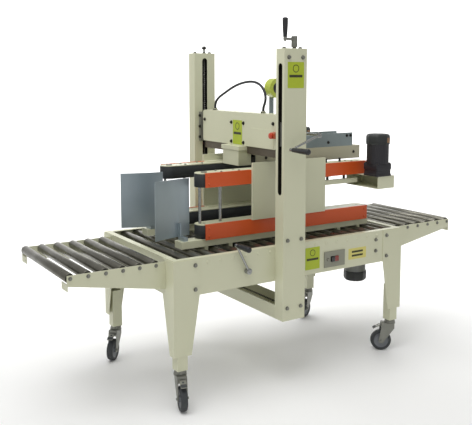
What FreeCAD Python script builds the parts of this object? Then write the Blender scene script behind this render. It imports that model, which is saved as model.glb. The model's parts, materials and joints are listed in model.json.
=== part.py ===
"""Carton sealer with side belts: every physical piece as its own solid, one STEP file per node.

Millimetres, +Z up.  +X runs along the conveyor from the infeed to the outfeed, +Y points to
the far side (the cranks are on the -Y side), and the origin is on the floor under the bed's centre.
"""
import FreeCAD, Part
import math
import os
from FreeCAD import Vector as V

os.makedirs("parts", exist_ok=True)

# ---------------------------------------------------------------- driving dimensions
clear = 0.3             # gap between pieces that move past each other
fit = 0.05              # radial running clearance of a shaft in its bore

# bed
bed_length = 1240.0
bed_width = 688.0
bed_top = 610.0
panel_height = 152.0
sheet = 3.0             # sheet thickness of the frame
top_flange = 28.0
bottom_flange = 12.0

# bed rollers
roller_pitch = 62.0
roller_radius = 17.0
split_pairs = 5         # rollers each side of the middle that the tape cartridge's slot splits
slot_half_width = 62.0
journal_radius = 5.0

# roller tables
table_length = 412.0
table_inset = 66.0      # how much narrower than the bed on each side
table_top = 598.0
table_deep = 114.0      # panel height where it meets the bed
table_shallow = 41.0    # panel height at the free end
table_roller_radius = 19.0
table_pitch = 71.0
table_first = 44.0      # first roller from the bed's end
table_rollers = 6
end_flange_height = 28.0
end_flange_drop = 20.0  # how far it hangs below the side plate
end_flange_width = 60.0
end_hole_radius = 4.5

# legs and casters
leg_top_width = 120.0
leg_foot_width = 80.0
leg_side_width = 96.0
leg_side_foot = 38.0
leg_bottom = 215.0
tube = 46.0             # telescopic leg tube
tube_inset = 14.0
tube_top = 330.0
caster_height = 155.0
wheel_radius = 50.0
wheel_width = 28.0
trail = 42.0
stem_radius = 6.0

# columns and height screws
column_x = -70.0
column_width = 118.0
column_depth = 58.0
column_bottom = 292.0
column_top = 1450.0
slot_width = 28.0
slot_low = 760.0
slot_high = 1425.0
window_low = 835.0
window_high = 1389.0
screw_x = -57.0
screw_radius = 10.0
screw_journal = 8.0
beam_height = 60.0
sprocket_inset = 6.0    # between the sprocket's rim and the column's face

# head
head_front = -102.0
head_depth = 64.0
head_low = 1020.0
head_high = 1172.0
head_half = 308.0
head_corner = 12.0
press_half = 67.0
press_low = 930.0
press_x = (-137.0, -67.0)
carrier_height = 35.0
channel_x = (-38.0, 602.0)
channel_low = 925.0
channel_high = 990.0
plate_end = 552.0
plate_high = 1056.0
roll_radius = 47.0
roll_width = 48.0
roll_x = 115.0
roll_z = 1280.0
conduit_radius = 6.0
gland_height = 8.0
conduit_route = [(244, 1180), (244, 1196), (237, 1213), (220, 1228), (192, 1242), (150, 1259),
                 (95, 1281), (35, 1299), (-30, 1310), (-88, 1312), (-134, 1302), (-166, 1282),
                 (-183, 1256), (-185, 1231), (-176, 1210), (-167, 1196), (-167, 1180)]

# side belt units (near side; the far one is its mirror image)
unit_y = -160.0
drum_radius = 38.0
belt = 4.0
nose_x = -373.0
drive_x = 496.0
upper_low = 867.0
upper_high = 927.0
lower_low = 642.0
lower_high = 707.0
plate = 3.0
rail_low = 612.0
guard_x = (-393.0, 524.0)
upright_x = (-160.0, 250.0)
upright_high = 960.0
upright_depth = 10.0
drive_box_x = (465.0, 570.0)
drive_box_y = (-342.0, -120.0)
drive_box_low = 808.0
motor_x = 500.0
motor_y = -300.0
gear_side = 94.0
gear_height = 58.0
motor_radius = 52.0
motor_body = 92.0
hanging_body = 70.0     # the lower motors are shorter
cap_radius = 56.0
cap_height = 48.0
guide_low = 655.0
guide_high = 903.0
slide_bar_x = 372.0
slide_bar_radius = 12.5
slide_bar_z = 538.0
width_screw_x = -274.0
width_screw_z = 525.0
width_screw_radius = 8.0
nut_arm_x = -248.0
hanger_low = 506.0      # underside of the plate that carries the lower motor
hanger_plate = 6.0
rail_x = (-500.0, 545.0)
rail_half_width = 30.0
post_x = (284.0, 386.0)
nose_post_x = (nose_x - 21.0, nose_x + 81.0)    # posts between both modules, one each side of the drums
guide_mid = (-520.0, 18.0)      # X of the lead-in plate's middle and how far it has curved outwards
guide_tip = (-612.0, 51.0)
guide_foot_x = (-484.0, -464.0)

# fasteners
leg_bolt_inset = 96.0
leg_bolt_drop = (27.0, 126.0)
panel_bolt_inset = 163.0
panel_bolt_drop = (41.0, 94.0)
column_bolt_x = 36.0
bar_bolt_z = 643.0

# worked out from the values above
half_length = bed_length / 2
half_width = bed_width / 2
web = half_width - sheet
panel_low = bed_top - panel_height
roller_z = bed_top - sheet - 1 - roller_radius
table_axle_z = table_top - 12.0
column_outer = half_width + column_depth
column_mid = half_width + column_depth / 2
column_x0 = column_x - column_width / 2
column_x1 = column_x + column_width / 2
roller_pairs = int(half_length // roller_pitch)     # rollers on each side of the bed's middle
table_width = bed_width - 2 * table_inset
sprocket_radius = column_depth / 2 - sprocket_inset
belt_half = drum_radius + belt
guard_y = unit_y - belt_half - 6.0      # outer face of the orange guards
wheel_z = wheel_radius


# ---------------------------------------------------------------- shape helpers
def box(x0, x1, y0, y1, z0, z1):
    return Part.makeBox(x1 - x0, y1 - y0, z1 - z0, V(x0, y0, z0))


def rod(radius, a, b):
    a, b = V(*a), V(*b)
    return Part.makeCylinder(radius, (b - a).Length, a, b - a)


def cone(r0, r1, a, b):
    a, b = V(*a), V(*b)
    return Part.makeCone(r0, r1, (b - a).Length, a, b - a)


def prism(points, along):
    """Straight extrusion of a closed outline of 3-D points."""
    wire = Part.makePolygon([V(*p) for p in points] + [V(*points[0])])
    return Part.Face(wire).extrude(V(*along))


def fuse(*shapes):
    shapes = list(shapes)
    whole = shapes[0]
    if len(shapes) > 1:
        whole = whole.multiFuse(shapes[1:])
    return whole.removeSplitter()


def mirror_y(shape):
    return shape.mirror(V(0, 0, 0), V(0, 1, 0))


def mirror_x(shape):
    return shape.mirror(V(0, 0, 0), V(1, 0, 0))


def four_corners(shape):
    """The (-X, -Y) corner's shape and its three mirror images."""
    return [shape, mirror_y(shape), mirror_x(shape), mirror_x(mirror_y(shape))]


def hexagon(across, height, base, axis):
    """Hexagonal prism, across flats, standing on base along a row axis."""
    base, axis = V(*base), V(*axis)
    side = V(axis.y, axis.z, axis.x)
    other = axis.cross(side)
    r = across / math.sqrt(3)
    ring = [base + side * (r * math.cos(i * math.pi / 3)) + other * (r * math.sin(i * math.pi / 3))
            for i in range(6)]
    return Part.Face(Part.makePolygon(ring + [ring[0]])).extrude(axis * height)


def bolt(at, axis, across=13.0, head=6.0, washer=9.0):
    """Hexagon head on a washer, standing on the surface at `at`."""
    at, axis = V(*at), V(*axis)
    disc = Part.makeCylinder(washer, 1.5, at, axis)
    return fuse(disc, hexagon(across, head, at + axis * 1.5, axis))


def tube_roller(radius, length, y_mid, x, z, journal, bore=2.5, wall=2.5):
    """Conveyor roller along Y: a tube with end discs and two bored journals."""
    y0, y1 = y_mid - length / 2, y_mid + length / 2
    body = rod(radius, (x, y0, z), (x, y1, z))
    body = body.cut(rod(radius - wall, (x, y0 + 8, z), (x, y1 - 8, z)))
    ends = rod(journal_radius, (x, y0 - journal, z), (x, y1 + journal, z))
    ends = ends.cut(rod(radius - wall, (x, y0 + 8, z), (x, y1 - 8, z)))
    body = fuse(body, ends)
    return body.cut(rod(bore, (x, y0 - journal - 1, z), (x, y1 + journal + 1, z)))


def save(node, *solids):
    """Writes one STEP file that holds the node's solids."""
    flat = []
    for s in solids:
        flat += s.Solids
    shape = flat[0] if len(flat) == 1 else Part.makeCompound(flat)
    if not all(s.isValid() for s in flat):
        raise ValueError("invalid solid in " + node)
    shape.exportStep("parts/" + node + ".step")
    print(node, len(flat), "solids")


# ---------------------------------------------------------------- bed frame
def side_panel():
    """Near channel: web with a wide top flange and a narrow bottom one."""
    y = -half_width
    body = fuse(box(-half_length, half_length, y, -web, panel_low, bed_top),
                box(-half_length, half_length, y, y + top_flange, bed_top - sheet, bed_top),
                box(-half_length, half_length, y, y + bottom_flange, panel_low, panel_low + sheet))
    for side in (-1, 1):
        for i in range(roller_pairs):
            x = side * (i + 0.5) * roller_pitch
            body = body.cut(rod(journal_radius + fit, (x, y - 1, roller_z), (x, y + sheet + 1, roller_z)))
    return body


def end_plate():
    """Infeed end plate between the channels, with a flange under the rollers' level."""
    x = -half_length
    inner = half_width - top_flange
    return fuse(box(x, x + sheet, -web, web, panel_low + sheet, bed_top - sheet),
                box(x, x + sheet, -inner, inner, panel_low, bed_top),
                box(x, x + top_flange, -inner, inner, bed_top - sheet, bed_top))


switch_x = 203.0
switch_z = 513.0
switch_half = (60.0, 36.0)
rocker_half = (21.0, 12.5)
rocker_hole = (24.0, 13.0)
rocker_axis_y = -half_width - 2.0

near_panel = side_panel()
far_panel = mirror_y(near_panel)
near_panel = near_panel.cut(box(switch_x - rocker_hole[0], switch_x + rocker_hole[0], -half_width - 1,
                                -half_width + sheet + 1, switch_z - rocker_hole[1] - 3,
                                switch_z + rocker_hole[1] + 3))
near_panel = near_panel.cut(rod(width_screw_radius + fit, (width_screw_x, -half_width - 1, width_screw_z),
                                (width_screw_x, -half_width + sheet + 1, width_screw_z)))
save("bed_panels", near_panel, far_panel, end_plate(), mirror_x(end_plate()))


def bed_rollers():
    inside = 2 * web - 2 * clear - 12
    found = []
    for side in (-1, 1):
        for i in range(roller_pairs):
            x = side * (i + 0.5) * roller_pitch
            if i >= split_pairs:
                found.append(tube_roller(roller_radius, inside, 0, x, roller_z, 6.0 + clear + sheet))
            else:
                short = web - slot_half_width - sheet - 2 * clear - 8
                mid = (web + slot_half_width + sheet) / 2
                end = (web - slot_half_width - sheet - short) / 2
                piece = tube_roller(roller_radius, short, -mid, x, roller_z, end)
                found += [piece, mirror_y(piece)]
    return found


save("bed_rollers", *bed_rollers())

rail_half = split_pairs * roller_pitch
bar_x = (288.0, 312.0)
bar_low = 515.0
bar_high = 545.0


def cross_members():
    """Two box bars across the bed, with a rail each side of the cartridge's slot on them."""
    bar = box(-bar_x[1], -bar_x[0], -web, web, bar_low, bar_high)
    bar = bar.cut(box(-bar_x[1] + sheet, -bar_x[0] - sheet, -web - 1, web + 1,
                      bar_low + sheet, bar_high - sheet))
    rail = box(-rail_half, rail_half, -slot_half_width - sheet, -slot_half_width, bar_high, bed_top - 8)
    return [bar, mirror_x(bar), rail, mirror_y(rail)]


def slide_bars():
    """Round bars across the bed that the side units slide on."""
    return [rod(slide_bar_radius, (s * slide_bar_x, -web, slide_bar_z), (s * slide_bar_x, web, slide_bar_z))
            for s in (-1, 1)]


save("bed_cross_members", *cross_members(), *slide_bars())


# ---------------------------------------------------------------- legs
def leg():
    """Tapered angle of folded sheet outside one corner of the bed."""
    x, y, top = -half_length - sheet, -half_width - sheet, bed_top - sheet
    front = prism([(x, y, top), (x + leg_top_width, y, top), (x + leg_top_width, y, panel_low + sheet),
                   (x + leg_foot_width, y, leg_bottom), (x, y, leg_bottom)], (0, sheet, 0))
    side = prism([(x, y, top), (x, y + leg_side_width, top), (x, y + leg_side_width, panel_low + sheet),
                  (x, y + leg_side_foot, leg_bottom), (x, y, leg_bottom)], (sheet, 0, 0))
    return fuse(front, side)


def leg_extension():
    """Square tube that telescopes in the leg, closed by a plate with the caster's stem hole."""
    x0 = -half_length + tube_inset
    y0 = -half_width
    body = box(x0, x0 + tube, y0, y0 + tube, caster_height, tube_top)
    body = body.cut(box(x0 + sheet, x0 + tube - sheet, y0 + sheet, y0 + tube - sheet,
                        caster_height + 5, tube_top + 1))
    cx, cy = x0 + tube / 2, y0 + tube / 2
    return body.cut(rod(stem_radius + fit, (cx, cy, caster_height - 1), (cx, cy, caster_height + 6)))


save("legs", *four_corners(leg()), *four_corners(leg_extension()))
stem_at = (half_length - tube_inset - tube / 2, half_width - tube / 2)


# ---------------------------------------------------------------- casters
def caster(name, sx, sy, heading):
    """Swivel fork with its brake pedal, and its wheel; the wheel trails towards `heading` degrees."""
    top = caster_height - clear
    crown = 112.0
    arm_half = wheel_width / 2 + 3.5
    race = fuse(rod(22, (0, 0, top - 6), (0, 0, top)), rod(25, (0, 0, top - 15), (0, 0, top - 6)))
    roof = box(-20, trail - 2, -arm_half - 3, arm_half + 3, crown, top - 15)
    legs = []
    for s in (-1, 1):
        y0 = s * arm_half if s > 0 else -arm_half - 3
        legs.append(prism([(-20, y0, top - 15), (trail - 2, y0, top - 15), (trail + 14, y0, wheel_z - 4),
                           (trail + 8, y0, wheel_z - 12), (trail - 8, y0, wheel_z - 12),
                           (trail - 14, y0, wheel_z - 2), (-20, y0, crown)], (0, 3, 0)))
    stem = rod(stem_radius, (0, 0, top), (0, 0, caster_height + 17))
    nut = hexagon(19, 7, (0, 0, caster_height + 5 + clear), (0, 0, 1))
    axle = rod(5, (trail, -arm_half - 6, wheel_z), (trail, arm_half + 6, wheel_z))
    fork = fuse(race, roof, legs[0], legs[1], stem, nut, axle)
    pedal = prism([(trail - 2, -13, 127), (trail + 8, -13, 128), (trail + 40, -13, 112),
                   (trail + 40, -13, 108), (trail + 7, -13, 123), (trail + 1.5, -13, 121)], (0, 26, 0))
    tyre = rod(wheel_radius, (trail, -wheel_width / 2, wheel_z), (trail, wheel_width / 2, wheel_z))
    hub = rod(13, (trail, -arm_half + 1, wheel_z), (trail, arm_half - 1, wheel_z))
    wheel = fuse(tyre, hub).cut(rod(5 + fit, (trail, -arm_half, wheel_z), (trail, arm_half, wheel_z)))
    placed = []
    for shape in (fork, pedal, wheel):
        shape.rotate(V(0, 0, 0), V(0, 0, 1), heading)
        shape.translate(V(sx * stem_at[0], sy * stem_at[1], 0))
        placed.append(shape)
    save("caster_fork_" + name, placed[0], placed[1])
    save("caster_wheel_" + name, placed[2])


caster("near_infeed", -1, -1, -107)
caster("near_outfeed", 1, -1, 147)
caster("far_infeed", -1, 1, -135)
caster("far_outfeed", 1, 1, -155)


# ---------------------------------------------------------------- roller tables
def table():
    """Infeed roller table: two tapered side plates, a cross tube and end flanges."""
    x0, x1 = -half_length - sheet, -half_length - table_length
    y0 = -table_width / 2
    side = prism([(x0, y0, table_top), (x1, y0, table_top), (x1, y0, table_top - table_shallow),
                  (x0, y0, table_top - table_deep)], (0, sheet, 0))
    low = table_top - table_shallow - end_flange_drop
    end = box(x1, x1 + sheet, y0, y0 + end_flange_width, low, low + end_flange_height)
    hole_y, hole_z = y0 + end_flange_width - 15, low + end_flange_height / 2
    end = end.cut(rod(end_hole_radius, (x1 - 1, hole_y, hole_z), (x1 + sheet + 1, hole_y, hole_z)))
    fold = box(x0 - sheet, x0, y0, y0 + 40, table_top - table_deep, table_top - 40)
    half = fuse(side, end, fold)
    for i in range(table_rollers):
        x = -half_length - table_first - i * table_pitch
        half = half.cut(rod(journal_radius + fit, (x, y0 - 1, table_axle_z),
                            (x, y0 + sheet + 1, table_axle_z)))
    tie_x = x0 - 150
    tie = box(tie_x - 15, tie_x + 15, y0 + sheet, -y0 - sheet, table_top - 80, table_top - 50)
    return fuse(half, mirror_y(half), tie)


save("roller_tables", table(), mirror_x(table()))

table_roller_length = table_width - 2 * sheet - 12
for label, sign in (("infeed", -1), ("outfeed", 1)):
    for i in range(table_rollers):
        x = sign * (half_length + table_first + i * table_pitch)
        save(label + "_roller_" + str(i + 1),
             tube_roller(table_roller_radius, table_roller_length, 0, x, table_axle_z, 6.0 + sheet - clear))


# ---------------------------------------------------------------- columns, cross beam, height screws
def column(window):
    """Near column: rectangular tube with a cap, an inner slot for the head and an optional window."""
    y0, y1 = -column_outer, -half_width
    body = box(column_x0, column_x1, y0, y1, column_bottom, column_top)
    body = body.cut(box(column_x0 + sheet, column_x1 - sheet, y0 + sheet, y1 - sheet,
                        column_bottom - 1, column_top - 5))
    r = slot_width / 2
    y = (y1 - sheet - 1, y1 + 1)
    body = body.cut(box(column_x - r, column_x + r, y[0], y[1], slot_low, slot_high - r))
    body = body.cut(rod(r, (column_x, y[0], slot_high - r), (column_x, y[1], slot_high - r)))
    if window:
        x = (column_x0 - 1, column_x0 + sheet + 1)
        body = body.cut(box(x[0], x[1], -column_mid - r, -column_mid + r, window_low + r, window_high - r))
        for z in (window_low + r, window_high - r):
            body = body.cut(rod(r, (x[0], -column_mid, z), (x[1], -column_mid, z)))
    body = body.cut(rod(screw_journal + fit, (screw_x, -column_mid, column_top - 6),
                        (screw_x, -column_mid, column_top + 1)))
    opening = box(column_x0 + sheet + 4, column_x1 - sheet - 4, y1 - sheet - 1, y1 + 1,
                  column_bottom - 1, column_bottom + beam_height - sheet)
    return body.cut(opening)


save("front_column", column(True))
save("rear_column", mirror_y(column(False)))


def cross_beam():
    """Channel that ties the columns' feet, open at the top over the timing chain."""
    body = box(column_x0, column_x1, -half_width, half_width, column_bottom, column_bottom + beam_height)
    body = body.cut(box(column_x0 + sheet, column_x1 - sheet, -half_width - 1, half_width + 1,
                        column_bottom + sheet, column_bottom + beam_height + 1))
    foot = box(column_x0 + sheet + 4, column_x1 - sheet - 4, -column_outer + sheet, -half_width,
               column_bottom, column_bottom + sheet)
    foot = foot.cut(rod(screw_journal + fit, (screw_x, -column_mid, column_bottom - 1),
                        (screw_x, -column_mid, column_bottom + 4)))
    return fuse(body, foot, mirror_y(foot))


save("cross_beam", cross_beam())

screw_low = column_bottom + sheet + clear
sprocket_z = (column_bottom + 24.0, column_bottom + 32.0)


def height_screw():
    """Near lead screw with its chain sprocket and both journals."""
    y = -column_mid
    thread = rod(screw_radius, (screw_x, y, screw_low), (screw_x, y, column_top - 5 - clear))
    foot = rod(screw_journal, (screw_x, y, column_bottom + clear), (screw_x, y, screw_low))
    neck = rod(screw_journal, (screw_x, y, column_top - 5 - clear), (screw_x, y, column_top + 6))
    wheel = rod(sprocket_radius - 4, (screw_x, y, sprocket_z[0]), (screw_x, y, sprocket_z[1]))
    return fuse(thread, foot, neck, wheel)


crank_hub_z = (column_top + 6.0, column_top + 52.0)
crank_arm = 48.0
far_screw = mirror_y(height_screw())
stud_top = 1486.0
far_stud = rod(5, (screw_x, column_mid, column_top + 6), (screw_x, column_mid, stud_top))
far_nut = hexagon(19, 12, (screw_x, column_mid, stud_top - 16), (0, 0, 1))
save("front_lead_screw", height_screw())
save("rear_lead_screw", fuse(far_screw, far_stud, far_nut))


def height_crank():
    """Hub on the near screw, a short arm towards the infeed and an upright grip."""
    y = -column_mid
    hub = rod(13, (screw_x, y, crank_hub_z[0]), (screw_x, y, crank_hub_z[1]))
    arm = box(screw_x - crank_arm - 8, screw_x, y - 8, y + 8, crank_hub_z[1] - 18, crank_hub_z[1] - 8)
    pin_x = screw_x - crank_arm
    pin = rod(4, (pin_x, y, crank_hub_z[1] - 24), (pin_x, y, crank_hub_z[1] + 70))
    grip_low = crank_hub_z[1] - 8 + clear
    grip = cone(8.5, 12, (pin_x, y, grip_low), (pin_x, y, grip_low + 84))
    grip = grip.cut(rod(4 + fit, (pin_x, y, grip_low - 1), (pin_x, y, crank_hub_z[1] + 71)))
    return [fuse(hub, arm, pin), grip]


save("height_crank", *height_crank())


def chain():
    """Timing chain as one flat loop round both sprockets, inside the cross beam."""
    inner, outer = sprocket_radius - 4 + clear, sprocket_radius + 2
    z0, z1 = sprocket_z[0] + 1, sprocket_z[1] - 1
    loops = []
    for r in (outer, inner):
        ends = [rod(r, (screw_x, s * column_mid, z0), (screw_x, s * column_mid, z1)) for s in (-1, 1)]
        loops.append(fuse(box(screw_x - r, screw_x + r, -column_mid, column_mid, z0, z1), *ends))
    return loops[0].cut(loops[1])


save("timing_chain", chain())


# ---------------------------------------------------------------- head
def head_beam():
    """Box beam of folded sheet, open underneath, with rounded ends."""
    x0, x1 = head_front, head_front + head_depth
    body = box(x0, x1, -head_half, head_half, head_low, head_high)
    ends = [e for e in body.Edges if e.BoundBox.XLength > head_depth - 1]
    body = body.makeFillet(head_corner, ends)
    return body.cut(box(x0 + sheet, x1 - sheet, -head_half + head_corner, head_half - head_corner,
                        head_low - 1, head_high - sheet))


def glands():
    found = []
    for y, z in (conduit_route[0], conduit_route[-1]):
        nut = hexagon(20, gland_height, (column_x, y, head_high), (0, 0, 1))
        found.append(nut)
    return found


arm_half = slot_width / 2 - 2
nut_y = (half_width + sheet + 4.0, column_outer - sheet - 4.0)


def carriage():
    """Near carriage: flange beside the column, a neck through its slot, and the nut on the screw."""
    flange = box(head_front - 4, head_front + head_depth, -half_width + 2, -head_half - 22,
                 head_low - 4, head_high - 12)
    neck = box(column_x - arm_half, column_x + arm_half, -nut_y[0] - 1, -head_half,
               head_low + 20, head_high - 30)
    nut = box(column_x - 44, column_x + 44, -nut_y[1], -nut_y[0], head_low + 20, head_high - 30)
    return fuse(flange, neck, nut).cut(rod(screw_radius + fit, (screw_x, -column_mid, head_low - 20),
                                           (screw_x, -column_mid, head_high)))


save("head_carriages", carriage(), mirror_y(carriage()))


def press_box():
    """Carton press housing with its flat cap, hung under the beam, and a carrier bar each side."""
    housing = box(press_x[0], press_x[1], -press_half, press_half, press_low, head_low - 20)
    housing = housing.cut(box(press_x[0] + sheet, press_x[1] + 1, -press_half + sheet, press_half - sheet,
                              press_low - 1, head_low - 20 - sheet))
    cap = box(press_x[0] - 4, -45, -press_half - 8, press_half + 8, head_low - 20, head_low)
    bar = box(head_front + 7, head_front + 57, -head_half + 8, -press_half - 8,
              head_low - carrier_height, head_low)
    return [fuse(housing, cap), bar, mirror_y(bar)]


save("press_box", *press_box())

crank_shaft = (35.0, 1087.0)


def upper_cartridge():
    """Tape head: cream channel below, steel side plates above, roll arm and crank bearing."""
    half = slot_half_width
    channel = box(channel_x[0], channel_x[1], -half, half, channel_low, channel_high)
    channel = channel.cut(box(channel_x[0] - 1, channel_x[1] - sheet, -half + sheet, half - sheet,
                              channel_low - 1, channel_high - sheet))
    side = box(channel_x[0], plate_end, -half, -half + sheet, channel_high, plate_high)
    x, z = crank_shaft
    side = fuse(side, box(x - 22, x + 22, -half, -half + 12, channel_high, z + 16))
    side = side.cut(rod(6 + fit, (x, -half - 1, z), (x, -half + 13, z)))
    other = box(channel_x[0], plate_end, half - sheet, half, channel_high, plate_high)
    ties = [rod(6, (x, -half + sheet, plate_high - 16), (x, half - sheet, plate_high - 16))
            for x in (200.0, 530.0)]
    arm = box(roll_x - 12, roll_x + 12, roll_width / 2 + 3, roll_width / 2 + 9, channel_high, roll_z + 12)
    pin = rod(6, (roll_x, -roll_width / 2 - 6, roll_z), (roll_x, roll_width / 2 + 3, roll_z))
    return [channel, fuse(side, *ties, other), fuse(arm, pin)]


save("upper_tape_cartridge", *upper_cartridge())


def tape_roll(x, z, y_mid=0.0):
    """Roll of tape: wound ring on its flanged hub, bored for the pin."""
    y0, y1 = y_mid - roll_width / 2, y_mid + roll_width / 2
    ring = rod(roll_radius, (x, y0, z), (x, y1, z)).cut(rod(26, (x, y0 - 1, z), (x, y1 + 1, z)))
    hub = rod(26, (x, y0, z), (x, y1, z)).cut(rod(6 + fit, (x, y0 - 1, z), (x, y1 + 1, z)))
    return [ring, hub]


save("upper_tape_roll", *tape_roll(roll_x, roll_z))

stop_y = (-326.0, -296.0)
stop_z = 1083.0
stop_x = head_front - 22.0
stop_travel = 4.0


def stop_switch():
    """Stop switch: housing on the beam's front and the mushroom button, a piece of its own."""
    housing = box(stop_x, head_front, stop_y[0], stop_y[1], stop_z - 13, stop_z + 13)
    mid = sum(stop_y) / 2
    housing = housing.cut(rod(6 + fit, (stop_x - 1, mid, stop_z), (stop_x + 12, mid, stop_z)))
    button = fuse(rod(13, (stop_x - 14, mid, stop_z), (stop_x - stop_travel - clear, mid, stop_z)),
                  rod(6, (stop_x - stop_travel - clear, mid, stop_z), (stop_x + 6, mid, stop_z)))
    return housing, button


stop_base, stop_button = stop_switch()
save("head_beam", head_beam(), *glands(), stop_base)
save("stop_button", stop_button)


def head_crank():
    """Crank on a long shaft to the tape head, with its arm in front of the near column."""
    x, z = crank_shaft
    y = -column_outer - 24.0
    shaft = rod(6, (x, y, z), (x, -slot_half_width + 12, z))
    collar = rod(10, (x, -slot_half_width - 8, z), (x, -slot_half_width - clear, z))
    end = (x - 145.0, y - 4, z - 55.0)
    arm = rod(5, (x, y - 4, z), end)
    boss = fuse(rod(12, (x, y - 10, z), (x, y + 2, z)),
                rod(8, (end[0], y - 10, end[2]), (end[0], y + 2, end[2])))
    pin = rod(4, (end[0], y - 100, end[2]), (end[0], y - 4, end[2]))
    grip = cone(9, 12.5, (end[0], y - 10 - clear, end[2]), (end[0], y - 122, end[2]))
    grip = grip.cut(rod(4 + fit, (end[0], y - 101, end[2]), (end[0], y - 4, end[2])))
    return [fuse(shaft, collar, arm, boss, pin), grip]


save("head_crank", *head_crank())


def cord_path(points):
    """Straight runs joined by tangent arcs, each arc as large as its two runs allow."""
    pts = [V(*p) for p in points]
    edges, at, radii = [], pts[0], []
    for a, b, c in zip(pts, pts[1:], pts[2:]):
        into, out = (b - a), (c - b)
        run = min(into.Length, out.Length)
        turn = into.getAngle(out)
        into.normalize()
        out.normalize()
        reach = 0.45 * run
        radii.append(reach / math.tan(turn / 2))
        start, end = b - into * reach, b + out * reach
        bisector = (out - into).normalize()
        middle = b + bisector * (math.hypot(radii[-1], reach) - radii[-1])
        edges.append(Part.LineSegment(at, start).toShape())
        edges.append(Part.Arc(start, middle, end).toShape())
        at = end
    edges.append(Part.LineSegment(at, pts[-1]).toShape())
    return Part.Wire(edges), radii


def cord(points, radius):
    path, radii = cord_path(points)
    first = V(*points[1]) - V(*points[0])
    ring = Part.Wire(Part.Circle(V(*points[0]), first, radius).toShape())
    solid = path.makePipeShell([ring], True, False)
    print("cord radii", [round(r) for r in radii], "length", round(path.Length),
          "volume ratio", round(solid.Volume / (math.pi * radius ** 2 * path.Length), 4))
    return solid


save("conduit", cord([(column_x, y, z) for y, z in conduit_route], conduit_radius))


# ---------------------------------------------------------------- side belt units
def stadium(radius, z0, z1):
    """Solid that wraps both drum axes of a belt module."""
    return fuse(box(nose_x, drive_x, unit_y - radius, unit_y + radius, z0, z1),
                rod(radius, (nose_x, unit_y, z0), (nose_x, unit_y, z1)),
                rod(radius, (drive_x, unit_y, z0), (drive_x, unit_y, z1)))


levels = ((lower_low, lower_high), (upper_low, upper_high))
drum_bore = 8.0


def module(low, high):
    """Belt module: slider bed between two cover plates that carry the drums' journals."""
    body = fuse(stadium(belt_half - 1, low, low + plate), stadium(belt_half - 1, high - plate, high),
                box(nose_x + belt_half + 6, drive_x - belt_half - 6,
                    unit_y - drum_radius + 1, unit_y + drum_radius - 1, low, high))
    for x in (nose_x, drive_x):
        body = body.cut(rod(drum_bore + fit, (x, unit_y, low - 1), (x, unit_y, high + 1)))
    return body


def bracket(x, half, low):
    """Hanger from the base rail down between two rollers."""
    return box(x - half, x + half, unit_y - 16, unit_y + 16, low, rail_low)


def unit_rail():
    """Base rail of the near unit, bored for the lower drums' journals."""
    rail = box(*rail_x, unit_y - rail_half_width, unit_y + rail_half_width, rail_low, lower_low)
    rail = rail.cut(rod(drum_bore + fit, (nose_x, unit_y, rail_low - 1), (nose_x, unit_y, lower_low + 1)))
    return rail.cut(rod(drum_bore + 3, (drive_x, unit_y, rail_low - 1), (drive_x, unit_y, lower_low + 1)))


def upright():
    """Plate outside both modules, with a foot on each of their cover plates."""
    y = (guard_y - upright_depth, guard_y)
    return fuse(box(*upright_x, *y, lower_high + clear, upright_high),
                box(*upright_x, y[0], unit_y, upper_high, upper_high + plate),
                box(*upright_x, y[0], unit_y, lower_high, lower_high + plate))


def drive_carrier():
    """Beam from the upright plate, posts up to the module, and the box under the upper motor."""
    z = (drive_box_low + 18, drive_box_low + 40)
    beam = box(upright_x[1] - 20, drive_box_x[0], guard_y + 8, guard_y + 26, *z)
    tie = box(upright_x[1] - 20, upright_x[1], guard_y - upright_depth, guard_y + 26, *z)
    posts = [rod(6, (x, guard_y + 17, z[1]), (x, guard_y + 17, upper_low)) for x in post_x]
    body = box(*drive_box_x, *drive_box_y, drive_box_low, upper_low)
    body = body.cut(box(drive_box_x[0] - 1, drive_box_x[1] - sheet,
                        drive_box_y[0] + sheet, drive_box_y[1] - sheet,
                        drive_box_low + sheet, upper_low - sheet))
    body = body.cut(rod(drum_bore + 3, (drive_x, unit_y, upper_low - sheet - 1),
                        (drive_x, unit_y, upper_low + 1)))
    return [beam, tie, body, *posts]


def slide_hangers():
    """Bushes on both slide bars, the nut on the width screw and the lower motor's plate."""
    found = []
    y = (unit_y - rail_half_width, unit_y + rail_half_width)
    for x in (-slide_bar_x, slide_bar_x):
        hanger = fuse(bracket(x, 10, slide_bar_z), rod(20, (x, y[0], slide_bar_z), (x, y[1], slide_bar_z)))
        found.append(hanger.cut(rod(slide_bar_radius + fit, (x, y[0] - 1, slide_bar_z),
                                    (x, y[1] + 1, slide_bar_z))))
    x, z = width_screw_x, width_screw_z
    nut = fuse(bracket(nut_arm_x, 10, z - 18),
               box(x - 11, nut_arm_x + 10, unit_y - 16, unit_y + 16, z - 18, z + 18))
    found.append(nut.cut(rod(width_screw_radius + fit, (x, unit_y - 17, z), (x, unit_y + 17, z))))
    carrier = fuse(bracket(drive_x, 10, hanger_low + hanger_plate),
                   box(drive_x - 50, drive_x + 50, unit_y - 46, unit_y + 46,
                       hanger_low, hanger_low + hanger_plate))
    found.append(carrier.cut(rod(7.5, (drive_x, unit_y, hanger_low - 1), (drive_x, unit_y, rail_low + 1))))
    return found


def unit_frame():
    """Near unit: base rail, both belt modules, upright plate, drive box and hangers in one weldment."""
    nose_posts = [rod(6, (x, unit_y, lower_high), (x, unit_y, upper_low)) for x in nose_post_x]
    return fuse(unit_rail(), module(*levels[0]), module(*levels[1]), upright(),
                *drive_carrier(), *slide_hangers(), *nose_posts)


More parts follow.
